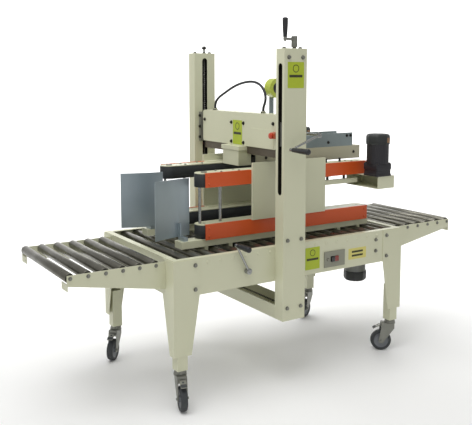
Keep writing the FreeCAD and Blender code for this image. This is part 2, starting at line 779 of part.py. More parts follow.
def guards():
    """Orange guards over the outer run of both belts."""
    found = []
    for low, high in levels:
        face = box(guard_x[0], guard_x[1], guard_y, guard_y + sheet, low, high)
        lip = box(guard_x[0], guard_x[1], guard_y, unit_y - belt_half + 6, high, high + 2)
        gap = box(upright_x[0] - 1, upright_x[1] + 1, guard_y - 1, unit_y, high - 0.01, high + 3)
        found.append(fuse(face, lip.cut(gap)))
    return found


def belts():
    return [stadium(belt_half, low + plate + 2, high - plate - 2).cut(
        stadium(drum_radius, low + plate + 1, high - plate - 1)) for low, high in levels]


def drums(x):
    """Both drums on one vertical axis, each a plain cylinder with its journals."""
    found = []
    for low, high in levels:
        body = rod(drum_radius - clear, (x, unit_y, low + plate + 1), (x, unit_y, high - plate - 1))
        found.append(fuse(body, rod(drum_bore, (x, unit_y, low + clear), (x, unit_y, high - clear))))
    return found


def motor(x, y, base, up):
    """Flanged gear case, round motor body and fan cap, upright or hanging."""
    s = 1 if up else -1
    z1 = base + s * gear_height
    z2 = z1 + s * (motor_body if up else hanging_body)
    z3 = z2 + s * cap_height
    lo, hi = min(base, z1), max(base, z1)
    h = gear_side / 2
    case = box(x - h, x + h, y - h, y + h, lo, hi)
    body = rod(motor_radius, (x, y, z1), (x, y, z2))
    cap = rod(cap_radius, (x, y, z2), (x, y, z3))
    rim = [e for e in cap.Edges if abs(e.BoundBox.ZMin - z3) < 0.01 and e.BoundBox.ZLength < 0.01]
    cap = cap.makeFillet(8, rim)
    return [fuse(case, body), cap]


def guide_plate():
    """Stainless lead-in plate that curves outwards from the belt's nose."""
    face = unit_y + belt_half
    arcs = [[V(nose_x - 52, face - 3 + off, guide_low),
             V(guide_mid[0], face - guide_mid[1] + off, guide_low),
             V(guide_tip[0], face - guide_tip[1] + off, guide_low)] for off in (0.0, -2.5)]
    inner, outer = arcs
    outline = Part.Wire([Part.Arc(*inner).toShape(), Part.LineSegment(inner[2], outer[2]).toShape(),
                         Part.Arc(*outer[::-1]).toShape(), Part.LineSegment(outer[0], inner[0]).toShape()])
    curved = Part.Face(outline).extrude(V(0, 0, guide_high - guide_low))
    x0, x1 = guide_foot_x
    foot = fuse(box(x0, x1, unit_y - 20, face - 12, lower_low, guide_low + 3),
                box(x0, x0 + 4, face - 32, face - 12, guide_low, guide_low + 60))
    corner = [V(inner[2].x, 0, guide_low), V(inner[0].x, 0, guide_low)]
    passage = Part.Face(Part.Wire([Part.Arc(*inner).toShape(),
                                   Part.LineSegment(inner[2], corner[0]).toShape(),
                                   Part.LineSegment(corner[0], corner[1]).toShape(),
                                   Part.LineSegment(corner[1], inner[0]).toShape()]))
    foot = foot.cut(passage.extrude(V(0, 0, guide_high - guide_low)))
    return fuse(curved, foot)


def unit_nodes(prefix, place):
    save(prefix + "_unit_frame", place(unit_frame()))
    save(prefix + "_belt_guards", *[place(s) for s in guards()])
    save(prefix + "_side_belts", *[place(s) for s in belts()])
    save(prefix + "_drive_drums", *[place(s) for s in drums(drive_x)])
    save(prefix + "_idler_drums", *[place(s) for s in drums(nose_x)])
    pair = motor(motor_x, motor_y, upper_low, True) + motor(drive_x, unit_y, hanger_low, False)
    save(prefix + "_motors", *[place(s) for s in pair])
    save(prefix + "_guide_plate", place(guide_plate()))


unit_nodes("near", lambda s: s)
unit_nodes("far", mirror_y)


def width_crank():
    """Right- and left-hand screw across the bed with its crank outside the near panel."""
    x, z = width_screw_x, width_screw_z
    y = -half_width - 16.0
    screw = rod(width_screw_radius, (x, y, z), (x, web - clear, z))
    hub = rod(13, (x, y - 6, z), (x, -half_width - clear, z))
    end = (x - 61.0, y, z + 117.0)
    arm = rod(5, (x, y, z), end)
    boss = rod(8, (end[0], y - 6, end[2]), (end[0], y + 6, end[2]))
    pin = rod(4, (end[0], y - 80, end[2]), (end[0], y, end[2]))
    grip = cone(8.5, 12, (end[0], y - 6 - clear, end[2]), (end[0], y - 98, end[2]))
    grip = grip.cut(rod(4 + fit, (end[0], y - 81, end[2]), (end[0], y, end[2])))
    return [fuse(screw, hub, arm, boss, pin), grip]


save("width_crank", *width_crank())


# ---------------------------------------------------------------- lower tape cartridge
lower_roll = (170.0, 455.0)
cartridge_half = 262.0


def lower_cartridge():
    """Tape head under the slot: two side plates on the rails' feet, ties and the roll's pin."""
    half = slot_half_width - 4
    side = box(-cartridge_half, cartridge_half, -half, -half + sheet, 505, bed_top - 12)
    drop = box(lower_roll[0] - 20, lower_roll[0] + 20, -half, -half + sheet, lower_roll[1] - 20, 505)
    ties = [rod(6, (x, -half + sheet, z), (x, half - sheet, z))
            for x, z in ((-245, 530), (245, 530), (0, 520))]
    foot = box(cartridge_half - 20, bar_x[1], -half, half, bar_high, bar_high + 4)
    x, z = lower_roll
    pin = rod(6, (x, -half + sheet, z), (x, half - sheet, z))
    plates = [fuse(side, drop), mirror_y(fuse(side, drop))]
    return fuse(*plates, *ties, foot, mirror_x(foot), pin)


save("lower_tape_cartridge", lower_cartridge())
save("lower_tape_roll", *tape_roll(*lower_roll))


# ---------------------------------------------------------------- switch, fasteners
def switch_plate():
    y = -half_width
    face = box(switch_x - switch_half[0], switch_x + switch_half[0], y - 4, y,
               switch_z - switch_half[1], switch_z + switch_half[1])
    hole = box(switch_x - rocker_hole[0], switch_x + rocker_hole[0], y - 5, y + 1,
               switch_z - rocker_hole[1], switch_z + rocker_hole[1])
    pins = rod(1.5 + fit, (switch_x, rocker_axis_y, switch_z - rocker_hole[1] - 3),
               (switch_x, rocker_axis_y, switch_z + rocker_hole[1] + 3))
    lamp = rod(5, (switch_x - 40, y - 4, switch_z), (switch_x - 40, y - 9, switch_z))
    lamp = lamp.makeFillet(2, [e for e in lamp.Edges if abs(e.BoundBox.YMax - (y - 9)) < 0.01])
    return [face.cut(hole).cut(pins), lamp]


def rocker():
    body = box(switch_x - rocker_half[0], switch_x + rocker_half[0], rocker_axis_y - 6, rocker_axis_y + 6,
               switch_z - rocker_half[1], switch_z + rocker_half[1])
    tall = [e for e in body.Edges if e.BoundBox.ZLength > 2 * rocker_half[1] - 1]
    body = body.makeFillet(3, tall)
    return fuse(body, rod(1.5, (switch_x, rocker_axis_y, switch_z - rocker_half[1] - 2.5),
                          (switch_x, rocker_axis_y, switch_z + rocker_half[1] + 2.5)))


save("switch_plate", *switch_plate())
save("rocker_switch", rocker())


def fasteners():
    """Hexagon bolts of the legs, columns and roller tables."""
    found = []
    leg_y = -half_width - sheet
    for sx in (-1, 1):
        for sy in (-1, 1):
            for drop in leg_bolt_drop:
                found.append(bolt((sx * (half_length - leg_bolt_inset), sy * -leg_y, bed_top - drop),
                                  (0, sy, 0)))
    for drop in panel_bolt_drop:
        found.append(bolt((half_length - panel_bolt_inset, -half_width, bed_top - drop), (0, -1, 0)))
    for sy in (-1, 1):
        for z in (column_bottom + 56, bar_bolt_z, column_top - 37):
            for dx in (-column_bolt_x, column_bolt_x):
                found.append(bolt((column_x + dx, sy * column_outer, z), (0, sy, 0)))
        for dx in (-40.0, 44.0):
            found.append(bolt((column_x + dx, sy * column_mid, column_top), (0, 0, 1)))
        for sx in (-1, 1):
            for i in range(table_rollers):
                x = sx * (half_length + table_first + i * table_pitch)
                found.append(bolt((x, sy * table_width / 2, table_axle_z), (0, sy, 0), 10.0, 4.0, 8.0))
    return found


save("frame_bolts", *fasteners())
print(len(os.listdir("parts")), "nodes")
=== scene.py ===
import json
import math
import bmesh
import bpy
import numpy as np
from mathutils import Matrix, Vector


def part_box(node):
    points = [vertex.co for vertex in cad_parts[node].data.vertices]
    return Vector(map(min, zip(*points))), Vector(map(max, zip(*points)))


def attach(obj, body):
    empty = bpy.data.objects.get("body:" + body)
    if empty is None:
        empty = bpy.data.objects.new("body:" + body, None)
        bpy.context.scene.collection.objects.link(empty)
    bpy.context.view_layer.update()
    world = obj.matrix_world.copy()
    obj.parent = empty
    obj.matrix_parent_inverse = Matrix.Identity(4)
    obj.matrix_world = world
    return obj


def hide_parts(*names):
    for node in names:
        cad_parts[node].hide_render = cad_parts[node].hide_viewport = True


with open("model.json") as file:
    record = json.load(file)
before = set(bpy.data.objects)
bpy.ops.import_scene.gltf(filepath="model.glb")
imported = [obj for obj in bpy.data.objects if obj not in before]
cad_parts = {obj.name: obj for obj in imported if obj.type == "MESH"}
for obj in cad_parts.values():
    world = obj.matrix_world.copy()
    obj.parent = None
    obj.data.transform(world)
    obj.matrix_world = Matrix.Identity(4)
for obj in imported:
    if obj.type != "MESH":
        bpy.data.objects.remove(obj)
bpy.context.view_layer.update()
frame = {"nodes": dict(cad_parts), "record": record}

# ---- Studio and camera
# The machine stands on a plain pale floor that runs up into a plain backdrop.
# The light is soft and comes mostly from above the infeed end.
scene = bpy.context.scene
camera_at = Vector((-1.948, -2.8553, 1.33))
camera_yaw = math.radians(57.18)
camera_pitch = math.radians(-6.396)
camera_lens = 56.15
forward = Vector((math.cos(camera_yaw) * math.cos(camera_pitch),
                  math.sin(camera_yaw) * math.cos(camera_pitch), math.sin(camera_pitch)))
right = Vector((math.sin(camera_yaw), -math.cos(camera_yaw), 0))
up = right.cross(forward)
camera = bpy.data.objects.new("camera", bpy.data.cameras.new("camera"))
camera.data.sensor_width = 36
camera.data.lens = camera_lens
camera.data.shift_y = -0.1112
camera.data.clip_end = 60
camera.matrix_world = Matrix((
    (right.x, up.x, -forward.x, camera_at.x),
    (right.y, up.y, -forward.y, camera_at.y),
    (right.z, up.z, -forward.z, camera_at.z),
    (0, 0, 0, 1)))
scene.collection.objects.link(camera)
scene.camera = camera


def lamp(name, at, aim, size, power, tint=(1, 1, 1)):
    """Square soft box at one point, turned to face another."""
    light = bpy.data.lights.new(name, "AREA")
    light.size = size
    light.energy = power
    light.color = tint
    holder = bpy.data.objects.new(name, light)
    holder.location = at
    holder.rotation_euler = (Vector(aim) - Vector(at)).to_track_quat("-Z", "Y").to_euler()
    scene.collection.objects.link(holder)


lamp("overhead", (-1.3, -0.5, 4.2), (0, 0, 0.6), 3.2, 105)
lamp("backdrop", (1.1, 1.7, 3.4), (2.7, 4.2, 0.9), 3.0, 150)
scene.view_settings.view_transform = "Standard"
world = bpy.data.worlds.new("studio")
scene.world = world
world.use_nodes = True
world.node_tree.nodes["Background"].inputs["Color"].default_value = (1.0, 1.0, 1.0, 1)
world.node_tree.nodes["Background"].inputs["Strength"].default_value = 0.5


def srgb(r, g, b):
    """Colour as seen on a screen, 0 to 255, turned into the linear values that shaders use."""
    c = np.array([r, g, b]) / 255.0
    lin = np.where(c <= 0.04045, c / 12.92, ((c + 0.055) / 1.055) ** 2.4)
    return (*[float(v) for v in lin], 1.0)


def shader(name, colour, rough, metal=0.0, spot=None, spot_scale=6.0, grain=0.0, grain_scale=900.0,
           stretch=(1, 1, 1), rough_spread=0.08, coat=0.0, specular=0.5):
    """Finish from Object coordinates: a broad cloudy change of tint and gloss, and a fine grain as bump."""
    mat = bpy.data.materials.new(name)
    mat.use_nodes = True
    tree = mat.node_tree
    link = tree.links.new
    out = tree.nodes["Principled BSDF"]
    for socket, value in (("Metallic", metal), ("Coat Weight", coat), ("Coat Roughness", 0.15),
                          ("Specular IOR Level", specular)):
        out.inputs[socket].default_value = value
    where = tree.nodes.new("ShaderNodeTexCoord")
    cloud = tree.nodes.new("ShaderNodeTexNoise")
    cloud.inputs["Scale"].default_value = spot_scale
    cloud.inputs["Detail"].default_value = 5
    link(where.outputs["Object"], cloud.inputs["Vector"])
    tint = tree.nodes.new("ShaderNodeMix")
    tint.data_type = "RGBA"
    tint.inputs["A"].default_value = colour
    tint.inputs["B"].default_value = spot or colour
    link(cloud.outputs["Fac"], tint.inputs["Factor"])
    link(tint.outputs["Result"], out.inputs["Base Color"])
    gloss = tree.nodes.new("ShaderNodeMapRange")
    gloss.inputs["To Min"].default_value = max(rough - rough_spread, 0.03)
    gloss.inputs["To Max"].default_value = rough + rough_spread
    link(cloud.outputs["Fac"], gloss.inputs["Value"])
    link(gloss.outputs["Result"], out.inputs["Roughness"])
    if grain:
        turn = tree.nodes.new("ShaderNodeMapping")
        turn.inputs["Scale"].default_value = stretch
        fine = tree.nodes.new("ShaderNodeTexNoise")
        fine.inputs["Scale"].default_value = grain_scale
        fine.inputs["Detail"].default_value = 2
        bump = tree.nodes.new("ShaderNodeBump")
        bump.inputs["Strength"].default_value = grain
        bump.inputs["Distance"].default_value = 0.0004
        link(where.outputs["Object"], turn.inputs["Vector"])
        link(turn.outputs["Vector"], fine.inputs["Vector"])
        link(fine.outputs["Fac"], bump.inputs["Height"])
        link(bump.outputs["Normal"], out.inputs["Normal"])
    return mat


floor_grid = np.linspace(0, 1, 25)
floor_depth = 9.0 * floor_grid
floor_rise = np.where(floor_grid > 0.72, (floor_grid - 0.72) ** 2 * 40, 0)
floor_mesh = bpy.data.meshes.new("floor")
across = np.array([-9.0, 9.0])
floor_points = np.stack([np.broadcast_to(across, (25, 2)),
                         np.broadcast_to((floor_depth - 4.0)[:, None], (25, 2)),
                         np.broadcast_to(floor_rise[:, None], (25, 2))], -1).reshape(-1, 3)
floor_quads = [(i, i + 1, i + 3, i + 2) for i in range(0, 48, 2)]
floor_mesh.from_pydata(floor_points.tolist(), [], floor_quads)
floor_mesh.shade_smooth()
floor = bpy.data.objects.new("floor", floor_mesh)
floor_turn = Matrix.Rotation(camera_yaw - math.pi / 2, 4, "Z")
floor_mesh.transform(floor_turn)
floor_mesh.materials.append(shader("floor paint", srgb(250, 250, 249), 0.7))
scene.collection.objects.link(floor)

# ---- Conduit over the head
# Black flexible sleeve with the head's wires, held in a gland at each end on top of the
# head beam, so it stands up in an arch of its own stiffness.
conduit_x = -0.07
conduit_route = [(0.244, 1.18), (0.244, 1.196), (0.237, 1.213), (0.22, 1.228), (0.192, 1.242),
                 (0.15, 1.259), (0.095, 1.281), (0.035, 1.299), (-0.03, 1.31), (-0.088, 1.312),
                 (-0.134, 1.302), (-0.166, 1.282), (-0.183, 1.256), (-0.185, 1.231), (-0.176, 1.21),
                 (-0.167, 1.196), (-0.167, 1.18)]
conduit_radius = 0.006
black_rubber = shader("black rubber", srgb(34, 35, 38), 0.55, spot=srgb(46, 47, 50), grain=0.25)
curve = bpy.data.curves.new("conduit_sleeve", "CURVE")
curve.dimensions = "3D"
curve.bevel_depth = conduit_radius
curve.bevel_resolution = 6
curve.use_fill_caps = True
spline = curve.splines.new("NURBS")
spline.points.add(len(conduit_route) - 1)
for point, (y, z) in zip(spline.points, conduit_route):
    point.co = (conduit_x, y, z, 1)
spline.order_u = 3
spline.use_endpoint_u = True
spline.resolution_u = 10
curve.materials.append(black_rubber)
conduit = bpy.data.objects.new("conduit_sleeve", curve)
scene.collection.objects.link(conduit)
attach(conduit, "head")
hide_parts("conduit")

# ---- Roller bed: folded panels
# Two long channels and two end plates of 3 mm sheet, bent, bolted at the corners and
# powder coated cream; every fold and cut edge is slightly rounded by the paint.
cream = shader("cream powder coat", srgb(210, 210, 182), 0.42, spot=srgb(203, 204, 175), spot_scale=3.0,
               grain=0.1, grain_scale=700, coat=0.12)
bright_zinc = shader("zinc plate", srgb(142, 143, 136), 0.36, metal=0.7, spot=srgb(120, 120, 112),
                     spot_scale=14, grain=0.15, grain_scale=500)
BODY_OF = {n: b for b, members in frame["record"]["behaviour"]["bodies"].items() for n in members}


def finish_piece(obj, body, nodes=()):
    """The piece joins the scene, rides on its body and stands for its nodes."""
    scene.collection.objects.link(obj)
    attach(obj, body)
    if nodes:
        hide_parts(*nodes)
    return obj


def rounded_edges(obj, width, steps=2):
    bevel = obj.modifiers.new("edge", "BEVEL")
    bevel.width = width
    bevel.segments = steps
    bevel.limit_method = "ANGLE"
    bevel.angle_limit = math.radians(40)
    bevel.harden_normals = True
    bevel.miter_outer = "MITER_ARC"


def softened(node, material, width=0.0008, name=None):
    """Copy of a node's mesh, its triangles merged back into flat faces, with every sharp edge rounded."""
    mesh = frame["nodes"][node].data.copy()
    work = bmesh.new()
    work.from_mesh(mesh)
    bmesh.ops.remove_doubles(work, verts=work.verts, dist=1e-6)
    bmesh.ops.dissolve_limit(work, angle_limit=math.radians(0.5), verts=work.verts, edges=work.edges)
    work.to_mesh(mesh)
    work.free()
    mesh.materials.clear()
    mesh.materials.append(material)
    mesh.shade_smooth()
    mesh.set_sharp_from_angle(angle=math.radians(40))
    obj = bpy.data.objects.new(name or node + "_sheet", mesh)
    finish_piece(obj, BODY_OF[node], (node,))
    rounded_edges(obj, width)
    return obj


def second_finish(obj, material, chosen):
    """The faces whose centres pass the test get another finish."""
    centres = np.empty(3 * len(obj.data.polygons))
    obj.data.polygons.foreach_get("center", centres)
    obj.data.materials.append(material)
    obj.data.polygons.foreach_set("material_index", chosen(centres.reshape(-1, 3)).astype(int))


softened("bed_panels", cream, 0.001)
softened("bed_cross_members", bright_zinc)

# ---- Rollers of the bed and of both tables
# Zinc plated steel tube on a fixed axle; a pressed bearing cap closes each end and its
# rim is rolled over the tube, which leaves a small step and a dark dished centre.
def turned(profile, base, axis, steps=32, facets=6, turn=0.0):
    """Surface of revolution: each (radius, height) of the profile swept in a circle about the axis.

    A third number on a profile point is half its width across flats, and cuts that ring to a polygon:
    r(t) = min(radius, flat / cos(t folded into one facet)).
    """
    axis = np.array(axis, float)
    axis /= np.linalg.norm(axis)
    side = np.cross(axis, [0, 0, 1] if abs(axis[2]) < 0.9 else [0, 1, 0])
    side /= np.linalg.norm(side)
    other = np.cross(axis, side)
    rows = np.array([(*row, 9.0)[:3] for row in profile], float)
    t = np.linspace(0, 2 * np.pi, steps, endpoint=False)
    facet = 2 * np.pi / facets
    folded = (t - turn + facet / 2) % facet - facet / 2
    r = np.minimum(rows[:, 0, None], rows[:, 2, None] / np.cos(folded))
    circle = np.cos(t)[:, None] * side + np.sin(t)[:, None] * other
    points = np.array(base, float) + rows[:, 1, None, None] * axis + r[:, :, None] * circle
    return points.reshape(-1, 3), ring_faces(len(rows), steps)


def ring_faces(rows, steps):
    """Quads between successive closed rings of points."""
    row, col = np.meshgrid(np.arange(rows - 1), np.arange(steps), indexing="ij")
    a, b = row * steps + col, row * steps + (col + 1) % steps
    return np.stack([a, b, b + steps, a + steps], -1).reshape(-1, 4).tolist()


def piece(name, groups, body, nodes=(), bevel=0.0, smooth=38):
    """Mesh object from groups of (surfaces, material); doubles are merged and faces turned outwards."""
    verts, faces, index, count, mats = [], [], [], 0, []
    for surfaces, material in groups:
        mats.append(material)
        for points, quads in surfaces:
            verts.append(np.asarray(points, float))
            faces += [[i + count for i in face] for face in quads]
            index += [len(mats) - 1] * len(quads)
            count += len(points)
    mesh = bpy.data.meshes.new(name)
    mesh.from_pydata(np.vstack(verts).tolist(), [], faces)
    for material in mats:
        mesh.materials.append(material)
    mesh.polygons.foreach_set("material_index", index)
    work = bmesh.new()
    work.from_mesh(mesh)
    bmesh.ops.remove_doubles(work, verts=work.verts, dist=1e-6)
    bmesh.ops.dissolve_degenerate(work, dist=1e-7, edges=work.edges)
    bmesh.ops.recalc_face_normals(work, faces=work.faces)
    work.to_mesh(mesh)
    work.free()
    mesh.shade_smooth()
    mesh.set_sharp_from_angle(angle=math.radians(smooth))
    obj = bpy.data.objects.new(name, mesh)
    finish_piece(obj, body, nodes)
    if bevel:
        rounded_edges(obj, bevel)
    return obj


roller_zinc = shader("roller zinc", srgb(128, 126, 116), 0.3, metal=0.9, spot=srgb(92, 90, 82),
                     spot_scale=22, grain=0.3, grain_scale=420, stretch=(1, 0.04, 1))
cap_black = shader("bearing cap", srgb(48, 47, 45), 0.45, spot=srgb(66, 64, 60))


def roller_parts(x, z, y0, y1, radius, journal):
    """Profile along Y: stub, dished cap, rolled rim, then the tube, and the same mirrored."""
    r = radius
    half = [(0.0, 0.0), (0.005, 0.0), (0.005, journal), (0.0105, journal), (0.0105, journal + 0.0016),
            (r - 0.0035, journal + 0.0022), (r - 0.0024, journal + 0.0002), (r - 0.0008, journal + 0.0004),
            (r, journal + 0.0016)]
    length = y1 - y0
    dark = [half[:6], [(a, length - b) for a, b in half[:6]][::-1]]
    bright = half[5:] + [(a, length - b) for a, b in half[5:]][::-1]
    return ([turned(bright, (x, y0, z), (0, 1, 0), 36)],
            [turned(p, (x, y0, z), (0, 1, 0), 36) for p in dark])


for end in ("infeed", "outfeed"):
    for number in range(1, 7):
        node = f"{end}_roller_{number}"
        low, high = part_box(node)
        bright, dark = roller_parts((low.x + high.x) / 2, (low.z + high.z) / 2, low.y, high.y,
                                    (high.z - low.z) / 2, 0.0087)
        piece(node + "_tube", [(bright, roller_zinc), (dark, cap_black)], node, (node,))

bed_pitch = 0.062
bed_low, bed_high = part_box("bed_rollers")
bed_roller_radius = (bed_high.z - bed_low.z) / 2
bed_roller_z = (bed_high.z + bed_low.z) / 2
slot_edge = 0.065
bright, dark = [], []
for side in (-1, 1):
    for i in range(10):
        spans = [(bed_low.y, bed_high.y)] if i >= 5 else [(bed_low.y, -slot_edge), (slot_edge, bed_high.y)]
        for y0, y1 in spans:
            b, d = roller_parts(side * (i + 0.5) * bed_pitch, bed_roller_z, y0, y1, bed_roller_radius,
                                0.0075)
            bright += b
            dark += d
piece("bed_roller_set", [(bright, roller_zinc), (dark, cap_black)], "root", ("bed_rollers",))
button = [(0, 0), (0.0068, 0), (0.0068, 0.0006), (0.0058, 0.0016), (0.0034, 0.0023), (0, 0.0025)]
panel_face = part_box("bed_panels")[1].y
buttons = [turned(button, (side * (i + 0.5) * bed_pitch, face * panel_face, bed_roller_z), (0, face, 0),
                  20)
           for side in (-1, 1) for i in range(10) for face in (-1, 1) if not (i < 2 and side < 0)]
piece("axle_buttons", [(buttons, cream)], "root", ())

# ---- Legs and roller tables
# Tapered angles with a telescopic square tube in each, and the tables' tapered side plates:
# the same folded and painted sheet as the bed, cut on a laser and welded at the seams.
softened("legs", cream, 0.001)
softened("roller_tables", cream, 0.0008)

# ---- Casters
# Stamped and zinc plated fork under a ball race, a wheel with a grey rubber tread moulded on
# a plastic rim, a hexagon axle bolt, and a brake pedal with a rubber pad over the wheel.
tread_rubber = shader("caster tread", srgb(60, 63, 65), 0.62, spot=srgb(48, 51, 53), spot_scale=30,
                      grain=0.35, grain_scale=300)
rim_plastic = shader("caster rim", srgb(124, 127, 131), 0.48, spot=srgb(110, 113, 117), grain=0.12)
dark_steel = shader("blackened steel", srgb(58, 57, 54), 0.42, metal=0.7, spot=srgb(44, 43, 40),
                    spot_scale=40)
JOINT = {j["name"]: j for j in frame["record"]["behaviour"]["joints"]}
tread_half = 0.014
hub_half = 0.0165
fork_face = 0.0205


def hexagon_bolt(at, axis, across=0.013, head=0.006, washer=0.009, lift=0.0015):
    """Washer, then a six-sided head whose top corners are cut back by a cone."""
    flat = across / 2
    corner = flat / math.cos(math.pi / 6)
    rows = [(0, 0), (washer - 0.0003, 0), (washer, 0.0003), (washer, lift - 0.0004),
            (washer - 0.0004, lift), (corner, lift, flat), (corner, lift + head * 0.72, flat),
            (flat * 0.97, lift + head), (0, lift + head)]
    return turned(rows, at, axis, 24)


def rounded_outline(half_u, half_v, corner, inset, steps):
    """Rounded rectangle: (half - corner) to each side, plus (corner - inset) * (cos t, sin t)."""
    t = (np.arange(4)[:, None] * math.pi / 2 + np.linspace(0, math.pi / 2, steps)[None, :]).ravel()
    sign_u, sign_v = np.repeat([1, -1, -1, 1], steps), np.repeat([1, 1, -1, -1], steps)
    return np.stack([sign_u * (half_u - corner) + (corner - inset) * np.cos(t),
                     sign_v * (half_v - corner) + (corner - inset) * np.sin(t)], -1)


def plate(centre, u, v, half_u, half_v, thickness, corner=0.002, edge=0.0004, steps=5):
    """Thin plate standing on a surface: a rounded rectangle whose rim is chamfered by `edge`.

    The rings go from the foot, up the rim, over the chamfer and to the middle of the face.
    """
    centre, u, v = (np.array(w, float) for w in (centre, u, v))
    normal = np.cross(u, v)
    rows = []
    for inset, level in ((None, 0.0), (0.0, 0.0), (0.0, thickness - edge), (edge, thickness),
                         (None, thickness)):
        if inset is None:
            flat = np.zeros((4 * steps, 2))
        else:
            flat = rounded_outline(half_u, half_v, corner, inset, steps)
        rows.append(centre + flat[:, :1] * u + flat[:, 1:] * v + normal * level)
    return np.stack(rows).reshape(-1, 3), ring_faces(len(rows), 4 * steps)


small_bolt = (0.01, 0.004, 0.0075, 0.0012)
pedal_crest_z = 0.128
pedal_run, pedal_fall = 0.8944, 0.4472
for corner in ("near_infeed", "near_outfeed", "far_infeed", "far_outfeed"):
    wheel = "caster_wheel_" + corner
    spin = JOINT["wheel_spin_" + corner]
    hub_at, axle = np.array(spin["pos_m"]), np.array(spin["axis"], float)
    wheel_low, wheel_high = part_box(wheel)
    radius = (wheel_high.z - wheel_low.z) / 2
    edge = [(0.036, -0.0118), (0.0372, -0.0134), (0.0385, -tread_half), (radius - 0.004, -tread_half),
            (radius - 0.0018, -0.0128), (radius - 0.0004, -0.0098), (radius, -0.006)]
    tread = edge + [(r, -h) for r, h in edge[::-1]]
    rim = [(0.0051, hub_half), (0.0118, hub_half), (0.0128, 0.0157), (0.013, 0.0098), (0.015, 0.0086),
           (0.031, 0.008), (0.034, 0.0098), (0.036, 0.0118)]
    web = [(0.036, 0.0118)] + rim[::-1][1:] + [(r, -h) for r, h in rim]
    piece(wheel + "_tread", [([turned(tread, hub_at, axle, 64)], tread_rubber),
                             ([turned(web, hub_at, axle, 64)], rim_plastic)], "wheel_" + corner, (wheel,))
    softened("caster_fork_" + corner, bright_zinc, 0.0007)
    stem = np.array(JOINT["swivel_" + corner]["pos_m"])
    race = [(0.0262, -0.0162), (0.0272, -0.015), (0.0272, -0.0118), (0.0258, -0.0108), (0.0246, -0.0104),
            (0.0246, -0.0096), (0.0256, -0.0092), (0.0262, -0.008), (0.0262, -0.0052), (0.025, -0.004),
            (0.0235, -0.0034), (0.0235, 0.0038), (0.0226, 0.0043), (0.01, 0.0044)]
    race_base = (stem[0], stem[1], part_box("legs")[0].z - 0.005)
    bolts = [hexagon_bolt(hub_at + side * axle * fork_face, side * axle, *small_bolt) for side in (-1, 1)]
    piece("caster_race_" + corner, [([turned(race, race_base, (0, 0, 1), 48)] + bolts, bright_zinc)],
          "fork_" + corner, ())
    ahead = np.array([hub_at[0] - stem[0], hub_at[1] - stem[1], 0.0])
    ahead /= np.linalg.norm(ahead)
    sideways = np.array([-ahead[1], ahead[0], 0.0])
    slope = pedal_run * ahead - np.array([0, 0, pedal_fall])
    crest = np.array([hub_at[0], hub_at[1], pedal_crest_z]) + 0.008 * ahead
    pad = plate(crest + slope * 0.0275, slope, sideways, 0.0078, 0.0122, 0.0012, 0.004)
    # A thin dark rubber square near the pedal's foot stands for its hole. It is painted shade, not a cut.
    pedal_hole_shade = plate(crest + slope * 0.01, slope, sideways, 0.0042, 0.0042, 0.0002, 0.001, 0.0001)
    piece("caster_pedal_pad_" + corner, [([pad, pedal_hole_shade], tread_rubber)], "fork_" + corner, ())

# ---- Columns and cross beam
# Welded boxes of cream sheet; a long slot faces inwards for the head's carriage, and the front
# column has a window on the infeed side in front of its screw.
# The columns' inside faces get a dark brown. It is partly the bare steel that the powder coat doesn't
# reach, and partly painted shade inside the boxes.
bare_steel_and_shade = shader("bare steel inside", srgb(62, 58, 51), 0.5, metal=0.4, spot=srgb(48, 45, 40),
                     spot_scale=20, grain=0.15, grain_scale=400)
wall = 0.0025
for name in ("front_column", "rear_column"):
    low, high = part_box(name)
    column = softened(name, cream, 0.0016)
    second_finish(column, bare_steel_and_shade, lambda c, low=low, high=high: (
        (c[:, 0] > low.x + wall) & (c[:, 0] < high.x - wall) & (c[:, 1] > low.y + wall)
        & (c[:, 1] < high.y - wall) & (c[:, 2] < high.z - wall)))
softened("cross_beam", cream, 0.001)

# ---- Height screws and their chain
# Turned steel with a trapezoidal thread of 10 mm pitch, driven together by a roller chain in
# the cross beam; the rear screw ends in a stud with a blackened nut.
screw_steel = shader("turned steel", srgb(122, 122, 118), 0.28, metal=0.92, spot=srgb(86, 85, 80),
                     spot_scale=30, grain=0.2, grain_scale=800)
screw_pitch = 0.01
thread_depth = 0.0022


def threaded(at, low, high, radius, steps=20, rows_each=6):
    """Screw surface: r = radius - depth * ramp(h / pitch - t / 2 pi), with flat crests and roots."""
    rows = int((high - low) / screw_pitch * rows_each)
    h = np.linspace(low, high, rows)[:, None]
    t = np.linspace(0, 2 * np.pi, steps, endpoint=False)[None, :]
    phase = (h / screw_pitch - t / (2 * np.pi)) % 1
    ramp = np.clip(np.abs(phase - 0.5) * 6 - 1, 0, 1)
    r = radius - thread_depth * ramp
    points = np.stack([at[0] + r * np.cos(t), at[1] + r * np.sin(t), np.broadcast_to(h, r.shape)], -1)
    faces = ring_faces(rows, steps) + [list(range(steps)), list(range((rows - 1) * steps, rows * steps))]
    return points.reshape(-1, 3), faces


def round_bar(a, b, radius, edge=0.0008, steps=24):
    """Cylinder from a to b with a small chamfer at each end."""
    length = float(np.linalg.norm(np.subtract(b, a)))
    rows = [(0, 0), (radius - edge, 0), (radius, edge), (radius, length - edge), (radius - edge, length),
            (0, length)]
    return turned(rows, a, np.subtract(b, a), steps)


